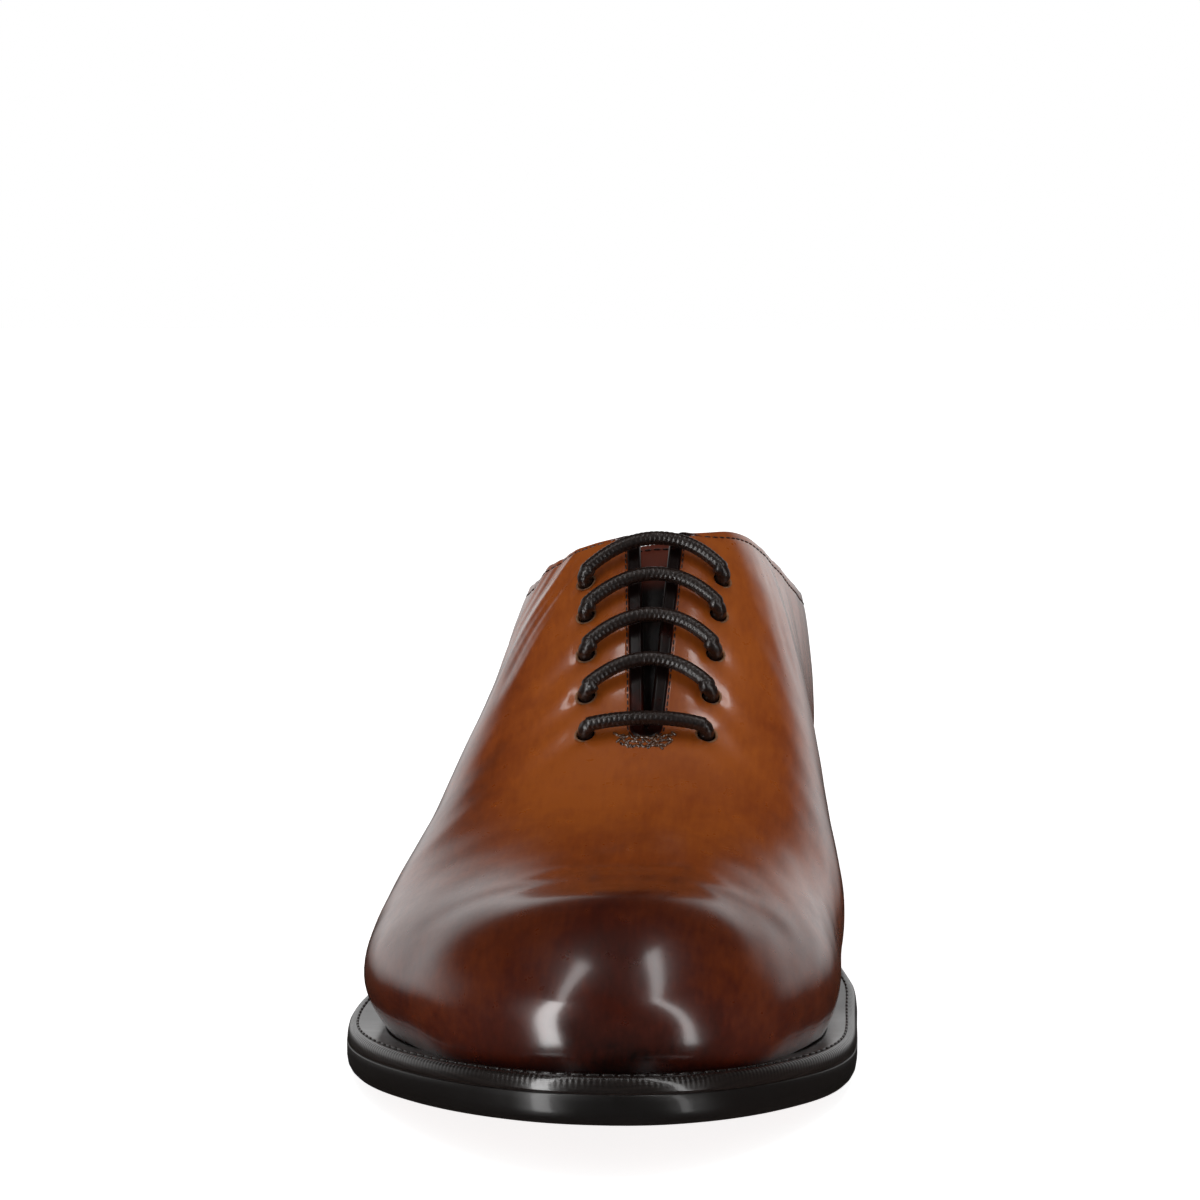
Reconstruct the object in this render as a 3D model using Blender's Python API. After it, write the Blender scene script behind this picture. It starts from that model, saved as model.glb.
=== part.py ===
"""A man's whole cut oxford, right shoe, standing on a level floor.

The toe points to -Y and the inner side of the foot is at +X. Every shape comes from one last: plan widths, section
heights and the line of its bottom, each a short table of shares of the sizes named below. Lengths are in metres.
"""

import math

import bmesh
import bpy
import numpy as np
from mathutils import Vector

# The last
LAST_LENGTH = 0.296
BALL_WIDTH = 0.092
INSTEP_RISE = 0.090
HEEL_HEIGHT = 0.024
TOE_SPRING = 0.009
TOE_ROUNDING = 0.062
HEEL_ROUNDING = 0.031
TOE_CROWN = 0.040
TOE_FULLNESS = 2.2
HEEL_FULLNESS = 2.3
ARCH_ACROSS = 2.2
ARCH_UP = 1.9

# The upper
WALL = 0.002
LASTING_MARGIN = 0.010
BACK_HEIGHT = 0.051
BACK_LEAN = 0.0065
COLLAR_DIP = 0.011
FACING_TOP = 0.148
THROAT_END = 0.1925
THROAT_WIDTH_TOP = 0.0086
THROAT_WIDTH_END = 0.0024
THROAT_ASIDE = 0.0025
HEEL_PIVOT = HEEL_ROUNDING

# Eyelets, lace and tongue
EYELET_PAIRS = 5
EYELET_MARGIN = 0.0092
EYELET_PITCH = 0.0089
EYELET_INSET = 0.0119
LACE_DIAMETER = 0.0032
LACE_CLEARANCE = 0.0005
LACE_BOW = 0.0008
LACE_ARCH = 0.0042
LACE_LANE = 0.0056
LACE_TAIL = 0.0050
BEND_STEPS = 4
BAR_STEPS = 6
TONGUE_THICKNESS = 0.002
TONGUE_TUCK = 0.014
TONGUE_STAND = 0.004
TONGUE_CORNER = 0.008
TONGUE_WIDTH_FRONT = 0.036
TONGUE_WIDTH_TOP = 0.046

# The bottom
SEAT_GAP = 0.0003
INSOLE_THICKNESS = 0.003
INSOLE_CLEARANCE = 0.0006
WELT_THICKNESS = 0.003
WELT_REACH = 0.0032
WELT_TUCK = 0.009
OUTSOLE_THICKNESS = 0.0059
HEEL_LENGTH = 0.074
HEEL_LIFTS = 3
HEEL_TAPER = 0.0015
BREAST_CURVE = 0.004
TOP_PIECE_THICKNESS = 0.006

# How finely the shapes are cut into facets
REAR_RIBS = 8
COLLAR_RIBS = 16
FACING_RIBS = 7
VAMP_RIBS = 14
WALL_ROWS = 13
SOLE_ROWS = 44
HEEL_ROWS = 12
HEEL_COLUMNS = 5
TONGUE_ROWS = 14
TONGUE_COLUMNS = 9
EYELET_SIDES = 12
PROFILE_SAMPLES = 78
PLAN_SAMPLES = 2000
HALVINGS = 40
FINE = 0.0001
SHARP_ANGLE = 40

EYELETS = range(EYELET_PAIRS)
LACE_RADIUS = LACE_DIAMETER / 2
LACE_LIFT = LACE_RADIUS + LACE_CLEARANCE
LACE_DEPTH = WALL + LACE_LIFT
TONGUE_DEPTH = LACE_DEPTH + LACE_LIFT


def table(columns, *rows):
    """The rows as one array for each named column."""
    return dict(zip(columns.split(), np.array(rows, float).T))


# Half widths of the feather line, where the upper turns in under the last, as shares of BALL_WIDTH.
FEATHER = table(
    "station medial lateral",
    (0.00, 0.300, 0.310),
    (0.11, 0.325, 0.332),
    (0.17, 0.325, 0.338),
    (0.25, 0.300, 0.345),
    (0.34, 0.272, 0.352),
    (0.42, 0.276, 0.372),
    (0.50, 0.326, 0.395),
    (0.58, 0.386, 0.462),
    (0.65, 0.436, 0.514),
    (0.71, 0.446, 0.543),
    (0.78, 0.444, 0.538),
    (0.86, 0.414, 0.492),
    (0.93, 0.370, 0.435),
    (1.00, 0.335, 0.385),
)

# How far the upper swells beyond the feather line, as shares of BALL_WIDTH, and how much further the sole goes than
# that, as a share of WELT_REACH. At the waist the sole stays under the upper.
SWELL = table(
    "station medial lateral sole",
    (0.00, 0.027, 0.027, 0.15),
    (0.15, 0.032, 0.028, 0.15),
    (0.30, 0.130, 0.042, -2.05),
    (0.45, 0.122, 0.044, -1.85),
    (0.60, 0.067, 0.040, 0.25),
    (0.72, 0.031, 0.046, 0.90),
    (0.85, 0.030, 0.044, 1.00),
    (1.00, 0.024, 0.024, 1.00),
)

# Heights above the feather line as shares of INSTEP_RISE, of the widest level and of the ridge, and how far the
# ridge lies towards the medial side, as a share of BALL_WIDTH.
SECTIONS = table(
    "station widest ridge aside",
    (0.00, 0.245, 0.870, 0.000),
    (0.15, 0.245, 0.920, 0.000),
    (0.30, 0.267, 1.010, 0.012),
    (0.40, 0.278, 1.020, 0.030),
    (0.50, 0.256, 0.972, 0.041),
    (0.58, 0.208, 0.806, 0.045),
    (0.66, 0.165, 0.592, 0.046),
    (0.74, 0.125, 0.462, 0.042),
    (0.82, 0.112, 0.392, 0.036),
    (0.90, 0.105, 0.342, 0.024),
    (1.00, 0.100, 0.262, 0.000),
)

# The underside of the sole: its height as shares of HEEL_HEIGHT and of TOE_SPRING. Both are 0 at the tread.
UNDERSIDE = table(
    "station heel spring",
    (0.00, 1.000, 0.00),
    (0.25, 0.900, 0.00),
    (0.34, 0.700, 0.00),
    (0.42, 0.455, 0.00),
    (0.50, 0.235, 0.00),
    (0.57, 0.085, 0.00),
    (0.64, 0.000, 0.00),
    (0.72, 0.000, 0.00),
    (0.79, 0.000, 0.09),
    (0.86, 0.000, 0.31),
    (0.93, 0.000, 0.63),
    (1.02, 0.000, 1.10),
)

# The top line from the heel's back to the facing: how far it dips on each side, as shares of COLLAR_DIP.
COLLAR = table(
    "share medial lateral",
    (0.00, 0.00, 0.00),
    (0.17, 0.25, 0.33),
    (0.34, 0.56, 0.75),
    (0.51, 0.67, 0.99),
    (0.68, 0.48, 0.95),
    (0.82, 0.00, 0.80),
    (0.93, -0.24, 0.50),
    (1.00, 0.00, 0.00),
)

# The lace's hidden end, down beside the medial eyelets: how far above the lowest one, as a share of the row, and how
# far beside the row, as a share of LACE_LANE.
LACE_END = table(
    "above beside",
    (1.000, 1.00),
    (0.500, 1.00),
    (0.200, 1.00),
    (0.125, 0.45),
)


def smooth(knots, values, at):
    """Natural cubic spline through the knots."""
    count = len(knots)
    step = np.diff(knots)
    slope = np.diff(values) / step
    matrix = np.eye(count)
    inner = np.arange(1, count - 1)
    matrix[inner, inner - 1] = step[:-1]
    matrix[inner, inner] = 2 * (step[:-1] + step[1:])
    matrix[inner, inner + 1] = step[1:]
    bend = np.linalg.solve(matrix, np.concatenate([[0], 6 * np.diff(slope), [0]]))
    at = np.clip(at, knots[0], knots[-1])
    left = np.clip(np.searchsorted(knots, at) - 1, 0, count - 2)
    ahead = knots[left + 1] - at
    behind = at - knots[left]
    width = step[left]
    cubic = (bend[left] * ahead**3 + bend[left + 1] * behind**3) / (6 * width)
    start = values[left] / width - bend[left] * width / 6
    end = values[left + 1] / width - bend[left + 1] * width / 6
    return cubic + start * ahead + end * behind


def monotone(knots, values, at):
    """Cubic through the knots that never passes a knot's value, so a level stretch stays level."""
    step = np.diff(knots)
    slope = np.diff(values) / step
    before = slope[:-1]
    after = slope[1:]
    level = before * after <= 0
    total = np.where(level, 1, before + after)
    tangent = np.concatenate([slope[:1], np.where(level, 0, 2 * before * after / total), slope[-1:]])
    at = np.clip(at, knots[0], knots[-1])
    left = np.clip(np.searchsorted(knots, at) - 1, 0, len(knots) - 2)
    t = (at - knots[left]) / step[left]
    from_values = (1 + 2 * t) * (1 - t) ** 2 * values[left] + t * t * (3 - 2 * t) * values[left + 1]
    return from_values + t * (1 - t) * step[left] * ((1 - t) * tangent[left] - t * tangent[left + 1])


def read(rows, side, y):
    """A column at a distance y from the heel; side is a column's name, or +1 for medial and -1 for lateral."""
    station = np.asarray(y, float) / LAST_LENGTH
    if isinstance(side, str):
        return smooth(rows["station"], rows[side], station)
    medial = smooth(rows["station"], rows["medial"], station)
    lateral = smooth(rows["station"], rows["lateral"], station)
    return np.where(np.asarray(side) > 0, medial, lateral)


def closing(y, grow):
    """1 along the last, falling on a superellipse to 0 at the toe's tip and at the heel's back."""
    toe = np.clip((y - (LAST_LENGTH - TOE_ROUNDING)) / (TOE_ROUNDING + grow), 0, 1)
    heel = np.clip((HEEL_ROUNDING - y) / (HEEL_ROUNDING + grow), 0, 1)
    toe_part = (1 - toe**TOE_FULLNESS) ** (1 / TOE_FULLNESS)
    return toe_part * (1 - heel**HEEL_FULLNESS) ** (1 / HEEL_FULLNESS)


def half_width(side, y, grow):
    """Half width in plan of the feather line grown outwards by a distance."""
    return (read(FEATHER, side, y) * BALL_WIDTH + grow) * closing(y, grow)


def swell(side, y):
    return read(SWELL, side, y) * BALL_WIDTH


def sole_reach(side, y):
    return swell(side, y) + read(SWELL, "sole", y) * WELT_REACH


def underside(y):
    station = np.asarray(y, float) / LAST_LENGTH
    heel = monotone(UNDERSIDE["station"], UNDERSIDE["heel"], station)
    spring = monotone(UNDERSIDE["station"], UNDERSIDE["spring"], station)
    return heel * HEEL_HEIGHT + spring * TOE_SPRING


def welt_base(y):
    return underside(y) + OUTSOLE_THICKNESS + SEAT_GAP


def feather_z(y):
    return welt_base(y) + WELT_THICKNESS + SEAT_GAP


def widest_z(y):
    return feather_z(y) + read(SECTIONS, "widest", y) * INSTEP_RISE


def ridge_x(y):
    return read(SECTIONS, "aside", y) * BALL_WIDTH


def ridge_z(y):
    """Height of the ridge, rounded down to the widest level over the last stretch before the toe's tip."""
    crown_start = LAST_LENGTH + swell(1, LAST_LENGTH) - TOE_CROWN
    share = np.clip((y - crown_start) / TOE_CROWN, 0, 1)
    height = feather_z(y) + read(SECTIONS, "ridge", y) * INSTEP_RISE - widest_z(y)
    return widest_z(y) + height * (1 - share**TOE_FULLNESS) ** (1 / TOE_FULLNESS)


def arch_z(x, y):
    """Height of the upper's outside over a point of the plan, above the widest level."""
    side = np.where(x >= ridge_x(y), 1, -1)
    reach = side * half_width(side, y, swell(side, y)) - ridge_x(y)
    share = np.clip((x - ridge_x(y)) / np.where(reach == 0, 1, reach), 0, 1)
    return widest_z(y) + (ridge_z(y) - widest_z(y)) * (1 - share**ARCH_ACROSS) ** (1 / ARCH_UP)


def throat_half(y):
    share = np.clip((THROAT_END - y) / (THROAT_END - FACING_TOP), 0, 1)
    return (THROAT_WIDTH_END + (THROAT_WIDTH_TOP - THROAT_WIDTH_END) * share) / 2


def throat_x(y):
    return ridge_x(y) - THROAT_ASIDE


def facing_corner_z(side):
    return arch_z(throat_x(FACING_TOP) + side * throat_half(FACING_TOP), FACING_TOP)


BACK_TOP = feather_z(0) + BACK_HEIGHT


def collar_z(side, y):
    """Height of the top line, from the back up to the facing's corner, with its dip under the ankle."""
    share = np.clip(y / FACING_TOP, 0, 1)
    medial = smooth(COLLAR["share"], COLLAR["medial"], share)
    lateral = smooth(COLLAR["share"], COLLAR["lateral"], share)
    dip = np.where(side > 0, medial, lateral) * COLLAR_DIP
    return BACK_TOP + (facing_corner_z(side) - BACK_TOP) * share**3 - dip


def lean(y, z):
    """How far the back of the quarters has moved forward at a height."""
    above = np.maximum((z - widest_z(y)) / (BACK_TOP - widest_z(y)), 0)
    fade = 1 - np.clip(y / FACING_TOP, 0, 1)
    return BACK_LEAN * above**2 * fade**2 * (3 - 2 * fade)


def wall_x(side, y, z):
    """Distance of the upper's outside from the ridge's plane at a height."""
    low = np.clip((widest_z(y) - z) / (widest_z(y) - feather_z(y)), 0, 1)
    high = np.clip((z - widest_z(y)) / np.maximum(ridge_z(y) - widest_z(y), FINE), 0, 1)
    full = half_width(side, y - lean(y, z), swell(side, y) * (1 - low**2))
    aside = side * ridge_x(y)
    arch = aside + (full - aside) * (1 - high**ARCH_UP) ** (1 / ARCH_ACROSS)
    return np.where(full > 0, np.where(z < widest_z(y), full, arch), -LAST_LENGTH)


def rays(ys, side):
    """Rays across the shoe at these distances from the heel: origin x, y and direction x, y."""
    ys = np.asarray(ys, float)
    return np.stack([throat_x(ys), ys, np.full(ys.shape, float(side)), np.zeros(ys.shape)], 1)


def fan(y, start, end, count):
    """Rays turning about a point of the throat's line; angle 0 is the medial side and a quarter turn is the toe."""
    angle = np.linspace(start, end, count)
    origin = np.broadcast_to([throat_x(y), y], (count, 2))
    return np.concatenate([origin, np.stack([np.cos(angle), np.sin(angle)], 1)], 1)


def march(inside, shape):
    """Distance along each ray at which the point leaves the shape, by halving the interval."""
    near = np.zeros(shape)
    far = np.full(shape, LAST_LENGTH)
    for _ in range(HALVINGS):
        middle = (near + far) / 2
        within = inside(middle)
        near = np.where(within, middle, near)
        far = np.where(within, far, middle)
    return near


def ring(loop, grow):
    """Where the rays cross the feather line grown by grow(side, y)."""
    x0, y0, dx, dy = loop.T
    side = np.where(dx > 0, 1, -1)

    def inside(distance):
        x = x0 + distance * dx
        y = y0 + distance * dy
        half = half_width(side, y, grow(side, y))
        return (x * side < half) & (half > 0)

    distance = march(inside, len(loop))
    return np.stack([x0 + distance * dx, y0 + distance * dy], 1)


def shell_points(loop):
    """Points of the upper's outside along each ray, from the feather line up to its top edge."""
    x0, y0, dx, dy = [column[:, None] for column in loop.T]
    side = np.where(dx > 0, 1, -1)
    share = np.linspace(0, 1, PROFILE_SAMPLES)[None, :]
    shape = (len(loop), share.size)

    def at(distance):
        return x0 + distance * dx, y0 + distance * dy

    def below_widest(y):
        return feather_z(y) + (widest_z(y) - feather_z(y)) * share

    def above_widest(y):
        rise = np.maximum(ridge_z(y) - widest_z(y), FINE)
        end = np.arcsin(np.clip((collar_z(side, y) - widest_z(y)) / rise, 0, 1))
        return widest_z(y) + rise * np.sin(end * share)

    def on_level(level):
        def inside(distance):
            x, y = at(distance)
            return x * side < wall_x(side, y, level(y))

        distance = march(inside, shape)
        x, y = at(distance)
        return distance, np.stack([x, y, level(y)], 2)

    reach, low = on_level(below_widest)
    walls = on_level(above_widest)[1]
    slit = throat_half(y0)
    distance = slit + (reach[:, -1:] - slit) * np.cos(share * math.pi / 2)
    x, y = at(distance)
    arched = np.stack([x, y, arch_z(x, y)], 2)
    beside_throat = (y0 >= FACING_TOP)[:, :, None]
    return np.concatenate([low[:, :-1], np.where(beside_throat, arched, walls)], 1)


def even_steps(lines, count):
    """Each line cut anew into equal steps of its length."""
    step = np.linalg.norm(np.diff(lines, axis=1), axis=2)
    length = np.concatenate([np.zeros((len(lines), 1)), np.cumsum(step, 1)], 1)
    cut = []
    for line, along in zip(lines, length):
        wanted = np.linspace(0, along[-1], count)
        cut.append(np.stack([np.interp(wanted, along, line[:, axis]) for axis in range(3)], 1))
    return np.array(cut)


def grid_normals(points):
    """Unit normals of a grid closed round its first index, pointing in towards the last."""
    around = np.roll(points, -1, 0) - np.roll(points, 1, 0)
    along = np.gradient(points, axis=1)
    normal = np.cross(around, along)
    return normal / np.linalg.norm(normal, axis=2, keepdims=True)


def arch_point(x, y, height):
    """A point above the upper's outside, or below it where height is negative, along the surface's normal."""
    x = np.asarray(x, float)
    y = np.asarray(y, float)
    slope_x = (arch_z(x + FINE, y) - arch_z(x - FINE, y)) / (2 * FINE)
    slope_y = (arch_z(x, y + FINE) - arch_z(x, y - FINE)) / (2 * FINE)
    normal = np.stack([-slope_x, -slope_y, np.ones(np.shape(slope_x))], -1)
    normal = normal / np.linalg.norm(normal, axis=-1, keepdims=True)
    return np.stack(np.broadcast_arrays(x, y, arch_z(x, y)), -1) + normal * np.asarray(height)[..., None]


def arch_direction(x, y):
    direction = arch_point(x, y, 1.0) - arch_point(x, y, 0.0)
    return direction / np.linalg.norm(direction)


# The origin stands on the floor under the middle of the shoe's box.
ALONG = np.linspace(-WELT_REACH, LAST_LENGTH, PLAN_SAMPLES)
MIDDLE_X = (half_width(1, ALONG, sole_reach(1, ALONG)).max() - half_width(-1, ALONG, sole_reach(-1, ALONG)).max()) / 2
TIP_Y = LAST_LENGTH + float(sole_reach(1, LAST_LENGTH))
BACK_Y = -float(sole_reach(1, 0))
MIDDLE_Y = (TIP_Y + BACK_Y) / 2


def to_world(points):
    x, y, z = np.moveaxis(np.asarray(points, float), -1, 0)
    return np.stack([x - MIDDLE_X, MIDDLE_Y - y, z], -1)


def clear_scene():
    for obj in list(bpy.data.objects):
        bpy.data.objects.remove(obj, do_unlink=True)


def paint(name, colour, roughness, metallic=0.0):
    material = bpy.data.materials.new(name)
    material.use_nodes = True
    shader = material.node_tree.nodes["Principled BSDF"]
    shader.inputs["Base Color"].default_value = (*colour, 1)
    shader.inputs["Roughness"].default_value = roughness
    shader.inputs["Metallic"].default_value = metallic
    return material


def add_object(name, data, material):
    obj = bpy.data.objects.new(name, data)
    bpy.context.scene.collection.objects.link(obj)
    data.materials.append(material)
    return obj


def solid_between(name, top, bottom, material, closed=False):
    """One closed solid between two matching grids of points; closed joins the last row to the first."""
    rows, columns = top.shape[:2]
    points = np.concatenate([top.reshape(-1, 3), bottom.reshape(-1, 3)])
    index = np.arange(rows * columns).reshape(rows, columns)
    if closed:
        index = np.concatenate([index, index[:1]])
    under = index + rows * columns

    def quads(a, b):
        return np.stack([a[:-1].ravel(), a[1:].ravel(), b[1:].ravel(), b[:-1].ravel()], 1)

    faces = [
        np.stack([g[:-1, :-1].ravel(), g[1:, :-1].ravel(), g[1:, 1:].ravel(), g[:-1, 1:].ravel()], 1)
        for g in (index, under)
    ]
    faces += [quads(index[:, 0], under[:, 0]), quads(index[:, -1], under[:, -1])]
    if not closed:
        faces += [quads(index[0], under[0]), quads(index[-1], under[-1])]
    mesh = bpy.data.meshes.new(name)
    mesh.from_pydata(to_world(points).tolist(), [], np.concatenate(faces).tolist())
    shape = bmesh.new()
    shape.from_mesh(mesh)
    bmesh.ops.remove_doubles(shape, verts=shape.verts, dist=FINE / 10)
    bmesh.ops.triangulate(shape, faces=shape.faces)
    bmesh.ops.recalc_face_normals(shape, faces=shape.faces)
    shape.to_mesh(mesh)
    shape.free()
    mesh.shade_smooth()
    mesh.set_sharp_from_angle(angle=math.radians(SHARP_ANGLE))
    return add_object(name, mesh, material)


def cosine_steps(start, end, count, turn=math.pi):
    """Distances from start to end, close together at the start and, for a half turn, at the end too."""
    share = (1 - np.cos(np.linspace(0, turn, count))) / (1 - math.cos(turn))
    return start + (end - start) * share


def plan_patch(ys, grow, columns=2):
    """Plan grid across the shoe at the distances ys, an array with one row for each step and one column each."""
    across = np.linspace(-1, 1, columns)[None, :]
    ys = np.broadcast_to(ys.reshape(len(ys), -1), (len(ys), columns))
    medial = half_width(1, ys, grow(1, ys))
    lateral = half_width(-1, ys, grow(-1, ys))
    return np.stack([(medial - lateral) / 2 + across * (medial + lateral) / 2, ys], 2)


def raised(plan, height):
    return np.concatenate([plan, np.broadcast_to(height(plan[..., 1])[..., None], (*plan.shape[:2], 1))], 2)


def make_upper(leather):
    """The shell: turned-in margin, wall up to the top edge, its inside a wall's thickness away, and eyelet holes."""
    collar = cosine_steps(FACING_TOP, HEEL_PIVOT, COLLAR_RIBS + 1, math.pi / 2)[:0:-1]
    facing = np.linspace(FACING_TOP, THROAT_END, FACING_RIBS + 1)[:-1]
    sides = np.concatenate([collar, facing])
    loop = np.concatenate(
        [
            rays(sides, -1),
            fan(THROAT_END, math.pi, 0, 2 * VAMP_RIBS + 1),
            rays(sides[::-1], 1),
            fan(HEEL_PIVOT, 0, -math.pi, 2 * REAR_RIBS + 1)[1:-1],
        ]
    )
    wall = even_steps(shell_points(loop), WALL_ROWS + 1)
    turned_in = []
    for share in (1.0, 0.5):
        edge = ring(loop, lambda side, y, share=share: -share * LASTING_MARGIN)
        turned_in.append(np.concatenate([edge, feather_z(edge[:, 1])[:, None]], 1))
    outside = np.concatenate([np.stack(turned_in, 1), wall], 1)
    inside = outside + grid_normals(outside) * WALL
    upper = solid_between("upper", outside, inside, leather, closed=True)
    punch = make_eyelet_punch()
    cut = upper.modifiers.new("eyelet holes", "BOOLEAN")
    cut.operation = "DIFFERENCE"
    cut.object = punch
    return upper


def eyelet(side, pair):
    """Plan point of an eyelet, counted from the top pair."""
    y = FACING_TOP + EYELET_MARGIN + pair * EYELET_PITCH
    return float(throat_x(y) + side * (throat_half(y) + EYELET_INSET)), y


def make_eyelet_punch():
    """Ten pins, square to the upper's surface, that punch the eyelet holes; a helper that isn't drawn."""
    shape = bmesh.new()
    for side in (-1, 1):
        for pair in EYELETS:
            x, y = eyelet(side, pair)
            axis = to_world(arch_point(x, y, WALL)) - to_world(arch_point(x, y, -2 * WALL))
            turn = Vector(axis).to_track_quat("Z", "Y").to_matrix().to_4x4()
            turn.translation = Vector(to_world(arch_point(x, y, -WALL / 2)))
            bmesh.ops.create_cone(
                shape,
                cap_ends=True,
                segments=EYELET_SIDES,
                radius1=LACE_LIFT,
                radius2=LACE_LIFT,
                depth=3 * WALL,
                matrix=turn,
            )
    mesh = bpy.data.meshes.new("eyelet_punch")
    shape.to_mesh(mesh)
    shape.free()
    punch = bpy.data.objects.new("eyelet_punch", mesh)
    bpy.context.scene.collection.objects.link(punch)
    punch.hide_render = True
    punch.display_type = "WIRE"
    return punch


def make_tongue(leather):
    """A leaf under the throat: clear of the lace's runs, and close under the vamp where it is sewn in."""
    start = FACING_TOP - TONGUE_STAND
    end = THROAT_END + TONGUE_TUCK
    y = cosine_steps(start, end, TONGUE_ROWS, math.pi / 2)[:, None]
    last_eyelet = eyelet(1, EYELET_PAIRS - 1)[1] + LACE_LIFT
    tuck = np.clip((y - last_eyelet) / (end - last_eyelet), 0, 1)
    tucked_depth = WALL + 2 * SEAT_GAP
    depth = TONGUE_DEPTH + (tucked_depth - TONGUE_DEPTH) * tuck**2 * (3 - 2 * tuck)
    width = TONGUE_WIDTH_TOP + (TONGUE_WIDTH_FRONT - TONGUE_WIDTH_TOP) * (y - start) / (end - start)
    corner = np.clip((start + TONGUE_CORNER - y) / TONGUE_CORNER, 0, 1)
    half = width / 2 - TONGUE_CORNER * (1 - np.sqrt(1 - corner**2))
    x = throat_x(y) + half * np.linspace(-1, 1, TONGUE_COLUMNS)[None, :]
    y = np.broadcast_to(y, x.shape)
    outside = arch_point(x, y, -depth * np.ones(x.shape))
    inside = arch_point(x, y, -(depth + TONGUE_THICKNESS) * np.ones(x.shape))
    return solid_between("tongue", outside, inside, leather)


def make_insole(board):
    inset = WALL + INSOLE_CLEARANCE
    plan = plan_patch(cosine_steps(inset, LAST_LENGTH - inset, SOLE_ROWS), lambda side, y: -inset)
    low = raised(plan, lambda y: feather_z(y) + WALL + SEAT_GAP)
    high = raised(plan, lambda y: feather_z(y) + WALL + SEAT_GAP + INSOLE_THICKNESS)
    return solid_between("insole", high, low, board)


def make_strip(name, loop, leather):
    """A flat strip on the sole's edge, running in under the upper."""
    outer = ring(loop, sole_reach)
    inner = ring(loop, lambda side, y: -WELT_TUCK)
    plan = np.stack([outer, inner], 1)
    low = raised(plan, welt_base)
    high = raised(plan, lambda y: welt_base(y) + WELT_THICKNESS)
    return solid_between(name, high, low, leather)


def make_welt(leather):
    """From one end of the heel's breast round the toe to the other."""
    sides = np.linspace(HEEL_LENGTH, THROAT_END, COLLAR_RIBS + 1)[:-1]
    toe = fan(THROAT_END, math.pi, 0, 2 * VAMP_RIBS + 1)
    return make_strip("welt", np.concatenate([rays(sides, -1), toe, rays(sides[::-1], 1)]), leather)


def make_heel_rand(leather):
    """Closes the seat round the back, end to end with the welt."""
    sides = np.linspace(HEEL_LENGTH - SEAT_GAP, HEEL_PIVOT, REAR_RIBS)[:-1]
    back = fan(HEEL_PIVOT, 0, -math.pi, 2 * REAR_RIBS + 1)
    return make_strip("heel_rand", np.concatenate([rays(sides, 1), back, rays(sides[::-1], -1)]), leather)


def make_outsole(leather):
    tread = UNDERSIDE["station"][UNDERSIDE["heel"] + UNDERSIDE["spring"] == 0] * LAST_LENGTH
    ys = np.union1d(cosine_steps(BACK_Y, TIP_Y, SOLE_ROWS), tread)
    plan = plan_patch(ys, sole_reach)
    high = raised(plan, lambda y: underside(y) + OUTSOLE_THICKNESS)
    return solid_between("outsole", high, raised(plan, underside), leather)


def heel_plan(inset):
    """Plan of the heel drawn in by a distance, with its hollow breast."""
    across = np.linspace(-1, 1, HEEL_COLUMNS)[None, :]
    breast = HEEL_LENGTH - inset - BREAST_CURVE * (1 - across**2)
    share = cosine_steps(0, 1, HEEL_ROWS, math.pi / 2)[:, None]
    back = BACK_Y + inset
    return plan_patch(back + (breast - back) * share, lambda side, y: sole_reach(side, y) - inset, HEEL_COLUMNS)


def lift_level(count):
    """Height function of the seam above so many lifts, level at the top piece and along the sole's seat on top."""
    share = count / HEEL_LIFTS
    return lambda y: TOP_PIECE_THICKNESS + (underside(y) - SEAT_GAP - TOP_PIECE_THICKNESS) * share


def make_heel(leather, rubber):
    """The stacked lifts under the seat, each drawn in a little more than the one above, and the top piece."""
    for number in range(1, HEEL_LIFTS + 1):
        under = lift_level(number - 1)
        high = raised(heel_plan(HEEL_TAPER * (1 - number / HEEL_LIFTS)), lift_level(number))
        low_plan = heel_plan(HEEL_TAPER * (1 - (number - 1) / HEEL_LIFTS))
        low = raised(low_plan, lambda y, under=under: under(y) + SEAT_GAP)
        solid_between(f"heel_lift_{number}", high, low, leather)
    plan = heel_plan(HEEL_TAPER)
    high = raised(plan, lift_level(0))
    solid_between("heel_top_piece", high, raised(plan, np.zeros_like), rubber)


def through_eyelet(side, pair, run):
    """Points of the lace from above an eyelet down to its run under the facing; run is +1 towards the toe."""
    x, y = eyelet(side, pair)
    point = arch_point(x, y, 0.0)
    normal = arch_direction(x, y)
    across = arch_point(x - side * FINE, y, 0.0) - point
    across = across / np.linalg.norm(across)
    along = arch_point(x, y + run * FINE, 0.0) - point
    along = along / np.linalg.norm(along)
    turn = np.linspace(0, math.pi / 2, BEND_STEPS)[:, None]
    over = point + LACE_LIFT * (across * (1 - np.sin(turn)) + normal * np.cos(turn))
    under = point - WALL * normal + LACE_LIFT * (along * (1 - np.cos(turn)) - normal * np.sin(turn))
    return np.concatenate([over, under])


def lace_bar(side, pair):
    """The bar from one eyelet to the one across, resting on the facings; all but the lowest arch up the throat."""
    start_x, y = eyelet(side, pair)
    end_x = eyelet(-side, pair)[0]
    share = np.linspace(0, 1, BAR_STEPS + 2)[1:-1]
    x = start_x + (end_x - start_x) * share
    bow = 4 * share * (1 - share)
    arch = LACE_ARCH if pair < EYELET_PAIRS - 1 else 0
    return arch_point(x, y - arch * bow, LACE_LIFT + LACE_BOW * bow)


def lace_end_lane():
    """The hidden end: beside the top eyelet, down inside the medial row, and across to the lowest eyelet."""
    y = FACING_TOP + EYELET_MARGIN + (1 - LACE_END["above"]) * (EYELET_PAIRS - 1) * EYELET_PITCH
    x = throat_x(y) + throat_half(y) + EYELET_INSET - LACE_END["beside"] * LACE_LANE
    return arch_point(x, y, np.full(x.shape, -LACE_DEPTH))


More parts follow.
